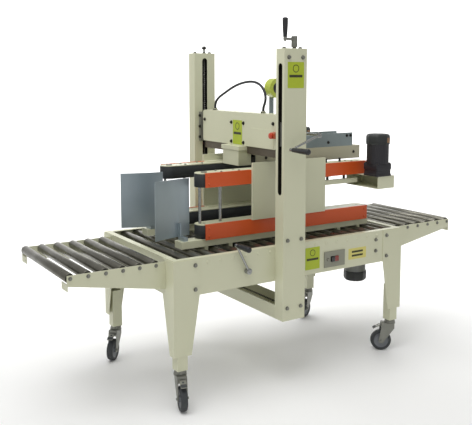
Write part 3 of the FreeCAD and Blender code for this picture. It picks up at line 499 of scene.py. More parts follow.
for name, body in (("front_lead_screw", "front_screw"), ("rear_lead_screw", "rear_screw")):
    at = np.array(JOINT["turn_" + body]["pos_m"])
    low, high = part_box(name)
    shaft_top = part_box("front_column")[1].z
    parts = [threaded(at, low.z + 0.0055, shaft_top - 0.006, 0.01),
             round_bar((at[0], at[1], low.z), (at[0], at[1], low.z + 0.006), 0.008),
             round_bar((at[0], at[1], shaft_top - 0.0065), (at[0], at[1], shaft_top + 0.006), 0.008)]
    teeth = [(0.0, low.z + 0.0237), (0.0165, low.z + 0.0237), (0.0188, low.z + 0.0255),
             (0.0188, low.z + 0.0295), (0.0165, low.z + 0.0317), (0.0, low.z + 0.0317)]
    parts.append(turned(teeth, (at[0], at[1], 0), (0, 0, 1), 38))
    groups = [(parts, screw_steel)]
    if body == "rear_screw":
        stud = [round_bar((at[0], at[1], shaft_top + 0.005), (at[0], at[1], high.z), 0.005)]
        nut_rows = [(0.005, 0.0), (0.0092, 0.0), (0.011, 0.001, 0.0095), (0.011, 0.011, 0.0095),
                    (0.0092, 0.012), (0.005, 0.012)]
        nut = turned(nut_rows, (at[0], at[1], high.z - 0.016), (0, 0, 1), 24)
        groups += [(stud, bright_zinc), ([nut], dark_steel)]
    piece(name + "_thread", groups, body, (name,))


def loop_path(run, radius, count):
    """Even steps round a loop of two straight runs and two half circles.

    Gives how far along the first run each step's centre is, and the angle turned so far.
    """
    bend = math.pi * radius
    s = np.arange(count) / count * (2 * run + 2 * bend)
    along = np.clip(s, 0, run) - np.clip(s - run - bend, 0, run)
    first = np.clip((s - run) / radius, 0, math.pi)
    return along, first + np.clip((s - 2 * run - bend) / radius, 0, math.pi)


def chain_links(low, high):
    """Roller chain on a loop round both sprockets: link plates as ovals, one pin in each joint."""
    x = JOINT["turn_front_screw"]["pos_m"][0]
    y = JOINT["turn_rear_screw"]["pos_m"][1]
    radius = (high.x - low.x) / 2 - 0.003
    link_pitch = 0.0127
    count = int((4 * y + 2 * math.pi * radius) / link_pitch)
    along, angle = loop_path(2 * y, radius, count)
    centre = np.stack([x + radius * np.cos(angle), -y + along + radius * np.sin(angle)], -1)
    tangent = np.roll(centre, -1, 0) - centre
    tangent /= np.linalg.norm(tangent, axis=1)[:, None]
    normal = np.stack([-tangent[:, 1], tangent[:, 0]], -1)
    t = np.linspace(0, 2 * np.pi, 12, endpoint=False)
    oval = np.stack([np.cos(t) * 0.003 + np.sign(np.cos(t)) * 0.0062, np.sin(t) * 0.0025], -1)
    middle = centre + tangent * 0.00635
    ring = middle[:, None] + oval[None, :, :1] * tangent[:, None] + oval[None, :, 1:] * normal[:, None]
    shift = np.where(np.arange(count) % 2, 0.0006, 0.0)
    mid = (low.z + high.z) / 2
    surfaces = []
    for side in (-1, 1):
        z0 = mid + side * (0.0018 + shift)
        levels = [np.concatenate([ring, np.broadcast_to((z0 + side * d)[:, None, None], (count, 12, 1))],
                                 -1)
                  for d in (0.0, 0.0006)]
        block = np.stack(levels, 1).reshape(-1, 3)
        start = np.arange(count)[:, None] * 24
        quads = (start[:, :, None] + np.array(ring_faces(2, 12))[None]).reshape(-1, 4).tolist()
        caps = np.concatenate([start + np.arange(12), start + 12 + np.arange(12)]).tolist()
        surfaces.append((block, quads + caps))
    pins = [round_bar((*c, mid - 0.0029), (*c, mid + 0.0029), 0.0016, 0.0002, 8) for c in centre]
    return surfaces + pins


piece("roller_chain", [(chain_links(*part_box("timing_chain")), dark_steel)], "root", ("timing_chain",))

# ---- Height crank
# Zinc plated hub and flat arm; the grip is black plastic that turns on its pin, held by a
# bright ferrule, and swells towards its free end.
grip_black = shader("grip plastic", srgb(34, 35, 37), 0.36, spot=srgb(44, 45, 47), spot_scale=20,
                    grain=0.1)


def grip(start, end, thin, thick):
    """Handle along its pin: r = thin + (thick - thin) * sin(quarter turn), then a domed end."""
    length = float(np.linalg.norm(np.subtract(end, start)))
    t = np.linspace(0, 1, 14)
    body = [(thin + (thick - thin) * math.sin(math.pi / 2 * v), 0.004 + v * (length - 0.01)) for v in t]
    dome = [(thick * math.cos(a), length - 0.006 + 0.006 * math.sin(a))
            for a in np.linspace(0.25, math.pi / 2, 7)]
    rows = [(0, 0.003), (thin - 0.001, 0.003)] + body + dome
    ferrule = [(0, 0), (thin - 0.0015, 0), (thin - 0.0008, 0.0006), (thin - 0.0008, 0.0032), (0, 0.0034)]
    axis = np.subtract(end, start)
    return turned(rows, start, axis, 28), turned(ferrule, start, axis, 28)


def flat_bar(a, b, half_width, thickness, normal):
    """Flat arm with round ends: an oval outline in the plane across `normal`, with chamfered faces."""
    a, b, normal = (np.array(v, float) for v in (a, b, normal))
    along = (b - a) / np.linalg.norm(b - a)
    side = np.cross(normal, along)
    t = np.linspace(0, 2 * np.pi, 32, endpoint=False)
    centre = np.where((np.cos(t) > 0)[:, None], b, a)
    rows = []
    for grow, level in ((0.0, 0), (1.0, 0), (1.06, 0.08), (1.06, 0.92), (1.0, 1), (0.0, 1)):
        r = half_width * grow / 1.06
        offset = np.cos(t)[:, None] * along + np.sin(t)[:, None] * side
        hub = centre if grow else np.broadcast_to((a + b) / 2, centre.shape)
        rows.append(hub + offset * r + normal * thickness * (level - 0.5))
    return np.stack(rows).reshape(-1, 3), ring_faces(len(rows), 32)


crank_low, crank_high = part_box("height_crank")
screw_at = JOINT["turn_front_screw"]["pos_m"]
hub_top = crank_low.z + 0.046
pin_x = screw_at[0] - 0.048
hub = [(0, 0), (0.0118, 0), (0.013, 0.0012), (0.013, 0.02), (0.0122, 0.021), (0.0122, 0.023),
       (0.013, 0.024), (0.013, 0.045), (0.012, 0.046), (0, 0.046)]
grip_start = (pin_x, screw_at[1], hub_top - 0.0077)
handle, ferrule = grip(grip_start, (pin_x, screw_at[1], crank_high.z), 0.0085, 0.012)
piece("height_crank_hub", [
    ([turned(hub, (screw_at[0], screw_at[1], crank_low.z), (0, 0, 1), 32),
      flat_bar((pin_x, screw_at[1], hub_top - 0.013), (screw_at[0], screw_at[1], hub_top - 0.013), 0.008,
               0.01, (0, 0, 1)),
      round_bar((pin_x, screw_at[1], hub_top - 0.024), (pin_x, screw_at[1], hub_top + 0.06), 0.004)],
     bright_zinc),
    ([handle], grip_black), ([ferrule], bright_zinc)], "front_screw", ("height_crank",))

# ---- Head beam, carriages and press housing
# Folded cream box with rounded ends between two carriages, screwed together with blackened
# bolts; the press housing with its flat cap hangs under it, a carrier bar on each side.
softened("head_beam", cream, 0.0014)
# Dark brown for the carrier bars on both sides of the press housing: painted shade from under the head
# beam.
carrier_painted_shade = shader("brown steel", srgb(112, 104, 90), 0.45, metal=0.5, spot=srgb(88, 80, 68),
                       spot_scale=10, grain=0.15, grain_scale=400)
softened("head_carriages", shader("carriage steel", srgb(158, 159, 150), 0.4, metal=0.5,
                                  spot=srgb(140, 141, 132), spot_scale=12, grain=0.1), 0.001)
press = softened("press_box", cream, 0.0012)
# The faces more than 75.5 mm to either side of the middle are the carrier bars, and they get the dark brown
# painted shade.
second_finish(press, carrier_painted_shade, lambda c: np.abs(c[:, 1]) > 0.0755)
front_face = -0.102


badge_y, badge_z = -0.0055, 1.079
beam_bolts = [(front_face, y, z) for y in (-0.056, 0.046) for z in (1.034, 1.123)]
beam_bolts += [(front_face, 0.29, 1.125), (front_face, -0.288, 1.132)]
flange_bolts = [(front_face - 0.004, side * 0.331, z) for side in (-1, 1) for z in (1.036, 1.088, 1.142)]
piece("head_bolts", [([hexagon_bolt(at, (-1, 0, 0), 0.011, 0.005, 0.0085)
                       for at in beam_bolts + flange_bolts],
                      dark_steel)], "head", ())
cover = plate((front_face, -0.203, 1.063), (0, -1, 0), (0, 0, 1), 0.088, 0.042, 0.0014, 0.004)
piece("head_cover", [([cover], cream)], "head", ())
gland_rows = [(0.0061, 0), (0.0118, 0, 0.01), (0.0118, 0.005, 0.01), (0.0102, 0.0064),
              (0.0097, 0.0075), (0.0088, 0.0095), (0.0074, 0.0104), (0.0061, 0.0106), (0.0061, 0)]
piece("conduit_glands", [([turned(gland_rows, (conduit_x, y, 1.1722), (0, 0, 1), 24)
                           for y in (0.244, -0.167)],
                          grip_black)], "head", ())

# ---- Stop button
# Red plastic mushroom that slides into its red housing, with a raised front plate round its foot.
stop_low, stop_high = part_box("stop_button")
stop_red = shader("stop button red", srgb(196, 66, 30), 0.3, spot=srgb(180, 54, 26), coat=0.3)
button = [(0, 0.0), (0.006, 0.0001), (0.0095, 0.0006), (0.012, 0.002), (0.013, 0.0045),
          (0.013, 0.008), (0.0122, 0.0094), (0.006, 0.0096), (0.006, 0.0196), (0, 0.0196)]
stop_y, stop_z = (stop_low.y + stop_high.y) / 2, (stop_low.z + stop_high.z) / 2
piece("stop_mushroom", [([turned(button, (stop_low.x, stop_y, stop_z), (1, 0, 0), 40)], stop_red)],
      "stop_button", ("stop_button",))
stop_cover = plate((-0.124, stop_y, stop_z), (0, -1, 0), (0, 0, 1), 0.0146, 0.0126, 0.0022, 0.003)
stop_body = shader("stop housing red", srgb(206, 92, 52), 0.4, spot=srgb(190, 80, 44))
shell = [plate((-0.113, stop_y - 0.015, stop_z), (1, 0, 0), (0, 0, 1), 0.0108, 0.0127, 0.0012, 0.002),
         plate((-0.113, stop_y, stop_z + 0.013), (1, 0, 0), (0, 1, 0), 0.0108, 0.0146, 0.0012, 0.002)]
piece("stop_housing_skin", [([stop_cover] + shell, stop_body)], "head", ())

# ---- Upper tape cartridge
# Cream channel that holds the taping arms, between plated side plates with bolted ties; a
# rubber roller at each end presses the tape on, and a coil spring pulls the arms down.
plated_grey = shader("plated side plate", srgb(150, 162, 163), 0.36, metal=0.4, spot=srgb(128, 140, 141),
                     spot_scale=9, grain=0.12, grain_scale=600)
# The channel gets a darker copy of the frame's cream paint: painted shade.
channel_cream_painted_shade = shader("channel cream", srgb(190, 186, 162), 0.42, spot=srgb(178, 174, 150), spot_scale=4,
                       grain=0.1, grain_scale=700)
cartridge = softened("upper_tape_cartridge", plated_grey, 0.0007)
channel_top = 0.9901
# Faces below the top of the channel get the darker cream, which is painted shade.
second_finish(cartridge, channel_cream_painted_shade, lambda c: c[:, 2] < channel_top)
cart_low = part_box("upper_tape_cartridge")[0]
plate_bolts = [(x, cart_low.y, z) for x, z in ((0.515, 1.041), (0.539, 1.041), (0.395, 1.012),
                                               (0.33, 1.046), (0.12, 1.01), (0.012, 1.02),
                                               (0.058, 1.02))]
plate_bolts += [(x, cart_low.y, 0.958) for x in (0.02, 0.56)]
far_bolts = [(x, -y, z) for x, y, z in plate_bolts]
piece("cartridge_bolts", [([hexagon_bolt(at, (0, -1, 0), *small_bolt) for at in plate_bolts]
                           + [hexagon_bolt(at, (0, 1, 0), *small_bolt) for at in far_bolts],
                           dark_steel)], "head", ())


def taping_parts(x_front, x_back, low, z_spring, half):
    """Both pressing rollers with their axles, and the coil spring between the arms."""
    tyre = [(0.0, 0.0), (0.0165, 0.0), (0.018, 0.0015), (0.018, 2 * half - 0.0215),
            (0.0165, 2 * half - 0.02), (0.0, 2 * half - 0.02)]
    tyres = [turned(tyre, (x, 0.01 - half, low + 0.018), (0, 1, 0), 36) for x in (x_front, x_back)]
    axles = [round_bar((x, 0.001 - half, low + 0.018), (x, half - 0.001, low + 0.018), 0.005)
             for x in (x_front, x_back)]
    turns, n = 16, 16 * 12
    s = np.linspace(0, 1, n)[:, None]
    spin = 2 * np.pi * turns * s
    centre = np.concatenate([x_front + 0.14 + 0.12 * s, 0.008 * np.cos(spin),
                             z_spring + 0.008 * np.sin(spin)], 1)
    outward = np.concatenate([0 * s, np.cos(spin), np.sin(spin)], 1)
    t = np.linspace(0, 2 * np.pi, 6, endpoint=False)
    wire = centre[:, None] + 0.0011 * (np.cos(t)[None, :, None] * outward[:, None]
                                       + np.sin(t)[None, :, None] * np.array([1.0, 0, 0]))
    faces = ring_faces(n, 6) + [list(range(6)), list(range(6 * (n - 1), 6 * n))]
    return tyres, axles + [(wire.reshape(-1, 3), faces)]


tyres, axles = taping_parts(0.01, 0.56, 0.928, 0.962, 0.059)
piece("taping_rollers", [(tyres, black_rubber), (axles, bright_zinc)], "head", ())

# ---- Upper tape roll
# Yellow film wound on its core: the side shows the layers as fine rings, and a black hub
# grips the core on the pin.
tape_film = shader("tape film", srgb(190, 202, 76), 0.28, spot=srgb(168, 182, 60), spot_scale=18, coat=0.5)
hub_black = shader("hub plastic", srgb(36, 36, 38), 0.4, spot=srgb(48, 48, 50))


def tape_roll(node, body):
    """Wound ring, whose sides ripple by r = layer, depth = 0.3 mm * sin, and the hub inside it."""
    low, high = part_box(node)
    x, z = (low.x + high.x) / 2, (low.z + high.z) / 2
    outer, width = (high.z - low.z) / 2, high.y - low.y
    layers = np.linspace(0.0275, outer - 0.0006, 22)
    ripple = [(float(r), 0.0005 + 0.0003 * math.sin(i * 2.1)) for i, r in enumerate(layers)]
    ring = ripple + [(outer, 0.0012), (outer, width - 0.0012)] + [(r, width - h) for r, h in ripple[::-1]]
    ring.append(ripple[0])
    hub = [(0.0061, 0.001), (0.012, 0.001), (0.013, 0.004), (0.021, 0.006), (0.024, 0.0012),
           (0.027, 0.0008), (0.0272, 0.002)]
    hub = hub + [(r, width - h) for r, h in hub[::-1]] + [hub[0]]
    piece(node + "_film", [([turned(ring, (x, low.y, z), (0, 1, 0), 64)], tape_film),
                           ([turned(hub, (x, low.y, z), (0, 1, 0), 48)], hub_black)], body, (node,))
    return x, z, low.y


roll_x, roll_z, roll_low = tape_roll("upper_tape_roll", "upper_roll")
knob = [(0, 0), (0.01, 0), (0.0125, 0.001), (0.013, 0.003), (0.012, 0.0056), (0, 0.006)]
piece("roll_knob", [([turned(knob, (roll_x, roll_low - 0.0005, roll_z), (0, -1, 0), 24)], hub_black)],
      "head", ())

# ---- Head crank
# Bright steel shaft to the tape head with a round arm in front of the near column; a boss is
# pinned at each end of the arm and the grip turns on the second pin.
bright_steel = shader("bright steel", srgb(168, 170, 168), 0.24, metal=0.95, spot=srgb(140, 141, 138),
                      spot_scale=25, grain=0.12, grain_scale=700)


def side_crank(node, body, name, shaft_radius, hub_radius, arm_end, arm_y, shaft_to):
    """Shaft along Y, hub, round arm to arm_end, boss, pin and grip out to the node's lowest Y."""
    low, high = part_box(node)
    x, z = JOINT["turn_" + body]["pos_m"][0], JOINT["turn_" + body]["pos_m"][2]
    end = np.array([arm_end[0], arm_y, arm_end[1]])
    hub = np.array([x, arm_y, z])
    out = np.array([0, -1.0, 0])
    hub_rows = [(0, 0), (hub_radius - 0.001, 0), (hub_radius, 0.001), (hub_radius, 0.011),
                (hub_radius - 0.0015, 0.012), (0.0045, 0.012), (0.0035, 0.0112), (0, 0.0112)]
    boss_rows = [(0, 0), (0.0072, 0), (0.008, 0.0008), (0.008, 0.0112), (0.0072, 0.012), (0, 0.012)]
    handle, ferrule = grip(end + out * 0.0063, (end[0], low.y, end[2]), 0.0088, 0.0122)
    steel = [round_bar((x, shaft_to, z), (x, arm_y - 0.004, z), shaft_radius),
             turned(hub_rows, hub - out * 0.006, out, 32), turned(boss_rows, end - out * 0.006, out, 28),
             round_bar(hub, end, 0.005, 0.0004), round_bar(end, end + out * 0.07, 0.004), ferrule]
    return piece(name, [(steel, bright_steel), ([handle], grip_black)], body, (node,))


side_crank("head_crank", "head_crank", "head_crank_arm", 0.006, 0.012, (-0.11, 1.032), -0.43,
           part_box("head_crank")[1].y)
collar = [(0.0062, 0), (0.0092, 0), (0.01, 0.0008), (0.01, 0.0068), (0.0092, 0.0076), (0.0062, 0.0076),
          (0.0062, 0)]
piece("head_crank_collar", [([turned(collar, (0.035, -0.07, 1.087), (0, 1, 0), 32)], bright_steel)],
      "head_crank", ())

# ---- Side belt units: frames and guards
# Each unit is a welded frame of cream plate that holds two belt modules; orange painted guards
# are screwed over the outer run of both belts, and blackened studs hold the cover plates.
orange = shader("guard orange", srgb(213, 88, 29), 0.4, spot=srgb(202, 78, 24), spot_scale=4, grain=0.1,
                grain_scale=600, coat=0.1)
for side, mark in (("near", -1), ("far", 1)):
    softened(side + "_unit_frame", cream, 0.0009)
    softened(side + "_belt_guards", orange, 0.0009)
    guard_low, guard_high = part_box(side + "_belt_guards")
    face_y = guard_low.y if mark < 0 else guard_high.y
    button = [(0, 0), (0.005, 0), (0.005, 0.0004), (0.0044, 0.0016), (0.0028, 0.0024), (0.0015, 0.0025),
              (0.0012, 0.0014), (0, 0.0014)]
    screws = [turned(button, (x, face_y, z), (0, mark, 0), 20) for x in (-0.375, 0.505)
              for z in (0.657, 0.692, 0.881, 0.913)]
    frame_y = mark * 0.16
    studs = [round_bar((x, frame_y, 0.9268), (x, frame_y, 0.946), 0.0055) for x in (0.3, 0.385)]
    low_bolts = [hexagon_bolt((x, frame_y + dy, 0.927), (0, 0, 1), 0.008, 0.003, 0.006, 0.001)
                 for x in (-0.3, -0.21, 0.44) for dy in (-0.024, 0.024)]
    bearing = [(0, 0), (0.0125, 0), (0.0135, 0.0008), (0.0135, 0.003), (0.0122, 0.0042), (0, 0.0044)]
    caps = [turned(bearing, (-0.373, frame_y, 0.927), (0, 0, 1), 28)]
    piece(side + "_guard_screws", [(screws, orange)], side + "_unit", ())
    piece(side + "_unit_studs", [(studs, dark_steel), (low_bolts + caps, bright_zinc)], side + "_unit", ())
    posts = [round_bar((x, mark * 0.191, 0.8485), (x, mark * 0.191, 0.8668), 0.0064)
             for x in (0.284, 0.386)]
    nose_posts = [round_bar((x, frame_y, 0.7072), (x, frame_y, 0.8668), 0.0064) for x in (-0.394, -0.292)]
    piece(side + "_unit_posts", [(posts, dark_steel), (nose_posts, bright_steel)], side + "_unit", ())

# ---- Side belts and their drums
# Endless black rubber belts with fine cross grooves that grip the carton, on crowned steel
# drums that turn between the modules' cover plates.
belt_rubber = shader("belt rubber", srgb(44, 47, 48), 0.6, spot=srgb(34, 37, 38), spot_scale=26, grain=0.3,
                     grain_scale=500)
groove_pitch = 0.012
groove_depth = 0.0006


def belt_loop(nose, drive, y, inner, outer, low, high):
    """Ribbon round both drums: skeleton point C(s) + normal n(s) * d, where every fourth sample of
    the outer face lies a groove's depth lower."""
    count = 4 * int((2 * (drive - nose) + 2 * math.pi * outer) / groove_pitch)
    along, angle = loop_path(drive - nose, outer, count)
    x, angle = nose + along, angle - math.pi / 2
    normal = np.stack([np.cos(angle), np.sin(angle)], -1)
    dip = np.where(np.arange(count) % 4 == 0, groove_depth, 0.0)
    e = 0.0008
    section = [(inner, low + e, 0), (inner + e, low, 0), (outer - e, low, 1), (outer, low + e, 1),
               (outer, high - e, 1), (outer - e, high, 1), (inner + e, high, 0), (inner, high - e, 0)]
    rows = []
    for d, z, rides in section:
        reach = d - dip * rides
        rows.append(np.stack([x + normal[:, 0] * reach, y + normal[:, 1] * reach, np.full(count, z)], -1))
    rows.append(rows[0])
    return np.stack(rows).reshape(-1, 3), ring_faces(len(rows), count)


for side, mark in (("near", -1), ("far", 1)):
    belt_low, belt_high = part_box(side + "_side_belts")
    centre_y = (belt_low.y + belt_high.y) / 2
    outer = (belt_high.y - belt_low.y) / 2
    nose, drive = belt_low.x + outer, belt_high.x - outer
    tall = 0.055
    loops = [belt_loop(nose, drive, centre_y, outer - 0.0039, outer, z, z + tall)
             for z in (belt_low.z, belt_high.z - tall)]
    piece(side + "_belt_loops", [(loops, belt_rubber)], side + "_unit", (side + "_side_belts",), smooth=50)
    for kind, x in (("drive", drive), ("idler", nose)):
        drum_low, drum_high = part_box(f"{side}_{kind}_drums")
        radius = (drum_high.x - drum_low.x) / 2
        spans = [(drum_low.z, drum_low.z + 0.0644), (drum_high.z - 0.0594, drum_high.z)]
        drums = []
        for z0, z1 in spans:
            t = np.linspace(0, 1, 9)
            crown = [(radius - 0.0005 * (2 * v - 1) ** 2, z0 + 0.0045 + v * (z1 - z0 - 0.009)) for v in t]
            rows = [(0, z0), (0.008, z0), (0.008, z0 + 0.0037), (radius - 0.0015, z0 + 0.0037)] + crown
            rows += [(radius - 0.0015, z1 - 0.0037), (0.008, z1 - 0.0037), (0.008, z1), (0, z1)]
            drums.append(turned(rows, (x, centre_y, 0), (0, 0, 1), 48))
        piece(f"{side}_{kind}_crowned", [(drums, roller_zinc)], f"{side}_{kind}_drums",
              (f"{side}_{kind}_drums",))

# ---- Motors
# Black painted gear motors: square case with a rib round its middle, fluted round body, and a
# fan cap with flats and vent slots; one stands on the drive box, and a grey one hangs below.
motor_paint = shader("motor black", srgb(38, 37, 42), 0.42, spot=srgb(30, 29, 34), spot_scale=12,
                     grain=0.2, grain_scale=450)
motor_grey = shader("motor grey", srgb(132, 134, 130), 0.42, metal=0.35, spot=srgb(112, 114, 110),
                    spot_scale=12, grain=0.2, grain_scale=450)
cap_paint = shader("fan cap black", srgb(43, 46, 45), 0.5, spot=srgb(35, 38, 37), grain=0.25,
                   grain_scale=350)
plate_brown = shader("rating plate", srgb(150, 104, 58), 0.4, spot=srgb(120, 86, 48), spot_scale=60)


def square_case(x, y, levels):
    """Case with rounded corners: one ring for each (height, half width, corner radius)."""
    rows = []
    for z, half, corner in levels:
        outline = rounded_outline(half, half, corner, 0, 6) + (x, y)
        rows.append(np.column_stack([outline, np.full(len(outline), z)]))
    return np.stack(rows).reshape(-1, 3), ring_faces(len(rows), 24)


def fluted(x, y, z0, z1, radius, flutes=30, depth=0.0016):
    """Motor body: r = radius - depth * (narrow cosine valleys round the circle), smooth at both ends."""
    t = np.linspace(0, 2 * np.pi, flutes * 6, endpoint=False)
    valley = np.clip(np.cos(t * flutes) * 1.6 - 0.4, 0, 1)
    rows = []
    for level, share in ((0, 0), (0.01, 0), (0.06, 0), (0.1, 1), (0.9, 1), (0.94, 0), (1, 0)):
        r = (radius - depth * share * valley) if level else np.zeros_like(t)
        rows.append(np.stack([x + r * np.cos(t), y + r * np.sin(t),
                              np.full(len(t), z0 + (z1 - z0) * level)], -1))
    rows[1][:, 2] = z0
    rows.append(np.stack([np.full(len(t), x), np.full(len(t), y), np.full(len(t), z1)], -1))
    return np.stack(rows).reshape(-1, 3), ring_faces(len(rows), len(t))


def motor(x, y, base, way, length):
    """One motor from its base, way = 1 upright or -1 hanging: case, body of that length, cap and bolts."""
    h = 0.047
    top = 0.058 + length
    case = square_case(x, y, [(base + way * z, half, corner) for z, half, corner in (
        (0, 0.0, 0.0), (0, h - 0.001, 0.005), (0.001, h, 0.006), (0.01, h, 0.006),
        (0.0112, h - 0.002, 0.006), (0.03, h - 0.002, 0.006), (0.0312, h, 0.006), (0.056, h, 0.006),
        (0.058, h - 0.0015, 0.005), (0.058, 0.0, 0.0))])
    body = fluted(x, y, base + way * 0.0575, base + way * (top + 0.0005), 0.0518)
    cap_rows = [(0.0, 0.0), (0.0545, 0.0), (0.056, 0.0015, 0.053), (0.056, 0.006, 0.053),
                (0.0549, 0.0068, 0.052), (0.0549, 0.008, 0.052), (0.056, 0.0088, 0.053),
                (0.056, 0.036, 0.053), (0.053, 0.044, 0.05), (0.047, 0.0476)]
    for r in (0.043, 0.036, 0.029, 0.022):
        cap_rows += [(r, 0.0479), (r - 0.0008, 0.0464), (r - 0.0034, 0.0464), (r - 0.0042, 0.0479)]
    cap_rows.append((0.0, 0.048))
    cap = turned([(row[0], way * (row[1] + top), *row[2:]) for row in cap_rows], (x, y, base), (0, 0, 1),
                 64, 8, math.pi / 8)
    bolts = [hexagon_bolt((x + sx * 0.0395, y + sy * 0.0395, base + way * 0.058), (0, 0, way), 0.008,
                          0.004, 0.006, 0.001) for sx in (-1, 1) for sy in (-1, 1)]
    return case, body, cap, bolts


for side, mark in (("near", -1), ("far", 1)):
    drive_at = JOINT[f"spin_{side}_drive_drums"]["pos_m"]
    upper = motor(0.5, mark * 0.3, 0.867, 1, 0.092)
    lower = motor(drive_at[0], drive_at[1], 0.506, -1, 0.07)
    facing = math.radians(292.5)
    badge = plate((0.5 + 0.053 * math.cos(facing), mark * 0.3 + 0.053 * math.sin(facing), 1.037),
                  (-math.sin(facing), math.cos(facing), 0), (0, 0, 1), 0.014, 0.012, 0.0008, 0.002,
                  0.0003)
    piece(side + "_gear_motors", [([upper[0], upper[1]], motor_paint), ([lower[0], lower[1]], motor_grey),
                                  ([upper[2], lower[2]], cap_paint), (upper[3] + lower[3], dark_steel),
                                  ([badge], plate_brown)], side + "_unit", (side + "_motors",))

# ---- Lead-in plates
# Brushed stainless sheet, curved away from the noses of the belts so that cartons run in.
# Its colour drifts between a lighter and a darker bluish grey in broad patches. This is painted reflection
# of the surroundings over the sheet's own grey.
stainless = shader("brushed stainless", srgb(178, 190, 196), 0.34, metal=0.6, spot=srgb(140, 153, 160),
                   spot_scale=5, grain=0.35, grain_scale=500, stretch=(1, 1, 0.03))
softened("near_guide_plate", stainless, 0.0006)
softened("far_guide_plate", stainless, 0.0006)

# ---- Width crank and screw
# Threaded bar across the bed, with the same crank as the tape head's outside the near panel.
# The real screw is right-hand on one half and left-hand on the other; here one thread runs its whole
# length.
width_at = JOINT["turn_width_crank"]["pos_m"]
side_crank("width_crank", "width_crank", "width_crank_arm", 0.0065, 0.013, (-0.335, 0.642), -0.36,
           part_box("width_crank")[1].y)
thread_points, thread_faces = threaded((0, 0), -0.335, 0.335, 0.008, 16, 5)
across = np.stack([width_at[0] + thread_points[:, 0], thread_points[:, 2],
                   width_at[2] + thread_points[:, 1]], -1)
width_hub = [(0.007, 0), (0.012, 0), (0.013, 0.001), (0.013, 0.008), (0.012, 0.009), (0.007, 0.009),
             (0.007, 0)]
piece("width_thread", [([(across, thread_faces)], screw_steel),
                       ([turned(width_hub, (width_at[0], -0.3535, width_at[2]), (0, 1, 0), 32)],
                        bright_steel)],
      "width_crank", ())

# ---- Lower tape cartridge and roll
# The tape head under the slot, of zinc plated plate, with its roll hanging below the bed.
softened("lower_tape_cartridge", bright_zinc, 0.0007)
tape_roll("lower_tape_roll", "lower_roll")
tyres, axles = taping_parts(-0.225, 0.225, 0.56, 0.54, 0.055)
piece("lower_taping_rollers", [(tyres, black_rubber), (axles, bright_zinc)], "root", ())

# ---- Switch plate
# Grey moulded plate with an indicator lamp and a rocker, black on one half and red on the
# other, set in a dark well behind the plate.
plate_grey = shader("switch plate grey", srgb(146, 146, 130), 0.45, spot=srgb(132, 133, 118), grain=0.12)
rocker_black = shader("rocker black", srgb(30, 28, 26), 0.25, spot=srgb(40, 36, 34), coat=0.3)
rocker_red = shader("rocker red", srgb(142, 62, 54), 0.25, spot=srgb(120, 48, 42), coat=0.3)
switch_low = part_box("switch_plate")[0]
softened("switch_plate", plate_grey, 0.0012)
rocker_low, rocker_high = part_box("rocker_switch")
rocker_mid = (rocker_low.x + rocker_high.x) / 2
switch_z = (rocker_low.z + rocker_high.z) / 2


def rocker_half(sign):
    """Half of the rocker: an outline on a grid whose face rises by height = 1.6 mm * u^2 from the pivot."""
    u = np.linspace(0, 1, 9)[:, None]
    v = np.linspace(-1, 1, 9)[None, :]
    x = rocker_mid + sign * u * 0.0205 + 0 * v
    z = switch_z + v * 0.0121 + 0 * u
    y = rocker_low.y + 0.0012 - 0.001 * u ** 2 + 0.0008 * v ** 4
    top = np.stack([x, y, z], -1).reshape(-1, 3)
    base = np.stack([x, np.full_like(x, rocker_high.y - 0.003), z], -1).reshape(-1, 3)
    i, j = np.meshgrid(np.arange(8), np.arange(8), indexing="ij")
    a = i * 9 + j
    quads = np.stack([a, a + 1, a + 10, a + 9], -1).reshape(-1, 4)
    rim = np.concatenate([np.arange(9), np.arange(9, 81, 9)[:-1] + 8, np.arange(80, 71, -1),
                          np.arange(63, 0, -9)])
    wall = np.stack([rim, np.roll(rim, -1), np.roll(rim, -1) + 81, rim + 81], -1)
    return np.concatenate([top, base]), quads.tolist() + (quads + 81).tolist() + wall.tolist()


piece("rocker_halves", [([rocker_half(-1)], rocker_black), ([rocker_half(1)], rocker_red)],
      "rocker_switch", ("rocker_switch",))
well_y = -0.3362
well = plate((rocker_mid, well_y, switch_z), (1, 0, 0), (0, 0, 1), 0.029, 0.019, 0.0008, 0.003)
piece("rocker_well", [([well], rocker_black)], "root", ())
lamp_x = rocker_mid - 0.04
lens = [(0.0, 0.0085), (0.003, 0.0082), (0.0046, 0.0068), (0.0052, 0.0045), (0.007, 0.004),
        (0.0078, 0.0028), (0.008, 0.0), (0, 0)]
piece("switch_lamp", [([turned(lens[::-1], (lamp_x, switch_low.y + 0.0085, switch_z), (0, -1, 0), 28)],
                       shader("lamp lens", srgb(92, 84, 78), 0.2, spot=srgb(74, 66, 62), coat=0.6))],
      "root", ())

# ---- Bolts of the frame
# Zinc plated hexagon bolts with washers at the legs, panels and columns, and smaller ones on
# the ends of the tables' axles.
panel_low, panel_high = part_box("bed_panels")
leg_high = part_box("legs")[1]
column_low, column_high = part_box("front_column")
table_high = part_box("roller_tables")[1]
column_mid_x = (column_low.x + column_high.x) / 2
heads = [hexagon_bolt((sx * (panel_high.x - 0.096), sy * leg_high.y, panel_high.z - drop), (0, sy, 0))
         for sx in (-1, 1) for sy in (-1, 1) for drop in (0.027, 0.126)]
heads += [hexagon_bolt((panel_high.x - 0.163, panel_low.y, panel_high.z - drop), (0, -1, 0))
          for drop in (0.041, 0.094)]
heads += [hexagon_bolt((column_mid_x + dx, -sy * column_low.y, z), (0, sy, 0))
          for sy in (-1, 1) for z in (column_low.z + 0.056, 0.643, column_high.z - 0.037)
          for dx in (-0.036, 0.036)]
heads += [hexagon_bolt((column_mid_x + dx, sy * 0.373, column_high.z), (0, 0, 1))
          for sy in (-1, 1) for dx in (-0.04, 0.044)]
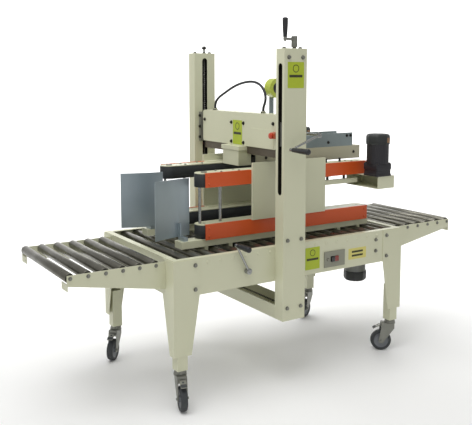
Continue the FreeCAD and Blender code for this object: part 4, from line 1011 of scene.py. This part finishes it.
for end in ("infeed", "outfeed"):
    for number in range(1, 7):
        low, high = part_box(f"{end}_roller_{number}")
        heads += [hexagon_bolt(((low.x + high.x) / 2, sy * table_high.y, (low.z + high.z) / 2), (0, sy, 0),
                               0.01, 0.004, 0.008) for sy in (-1, 1)]
piece("hexagon_bolts", [(heads, bright_zinc)], "root", ("frame_bolts",))

# ---- Plain plates on the paintwork
# Thin printed plates, yellow-green with a dark bar and blank fields, stuck to the near column,
# the beam and the bed's near panel; they carry no words or signs.
plate_green = shader("plate yellow green", srgb(176, 192, 44), 0.4, spot=srgb(164, 180, 38), spot_scale=20)
print_dark = shader("plate print", srgb(52, 54, 24), 0.45)
pale_yellow = shader("plate pale yellow", srgb(214, 204, 118), 0.42, spot=srgb(206, 196, 108),
                     spot_scale=20)
lift = 0.0006


def printed_plate(name, centre, u, half_u, half_v, body):
    """Blank plate with a dark bar across its middle and a thin ring in its upper field."""
    centre, u, v = np.array(centre), np.array(u, float), np.array([0, 0, 1.0])
    out = np.cross(u, v)
    bar = plate(centre + out * lift - v * half_v * 0.08, u, v, half_u * 0.8, half_v * 0.1, 0.0003, 0.001,
                0.0001)
    dot_r = half_v * 0.3
    ring = [(dot_r, 0), (dot_r, 0.0003), (dot_r * 0.82, 0.0003), (dot_r * 0.82, 0), (dot_r, 0)]
    dot = turned(ring, centre + out * lift + v * half_v * 0.5, out, 40)
    piece(name, [([plate(centre, u, v, half_u, half_v, lift, 0.003, 0.0002)], plate_green),
                 ([bar, dot], print_dark)], body, ())


printed_plate("column_plate", (-0.0695, column_low.y, 1.34), (1, 0, 0), 0.0425, 0.054, "root")
printed_plate("beam_plate", (front_face, badge_y, badge_z), (0, -1, 0), 0.039, 0.056, "head")
printed_plate("panel_plate", (0.077, panel_low.y, 0.53), (1, 0, 0), 0.041, 0.05, "root")
sticker_at = np.array([0.342, panel_low.y, 0.5195])
strokes = [plate(sticker_at + [0, -lift, dz], (1, 0, 0), (0, 0, 1), 0.034, 0.0045, 0.0003, 0.0015, 0.0001)
           for dz in (-0.009, 0.009)]
piece("panel_sticker", [([plate(sticker_at, (1, 0, 0), (0, 0, 1), 0.054, 0.026, lift, 0.003, 0.0002)],
                         pale_yellow),
                        (strokes, print_dark)], "root", ())
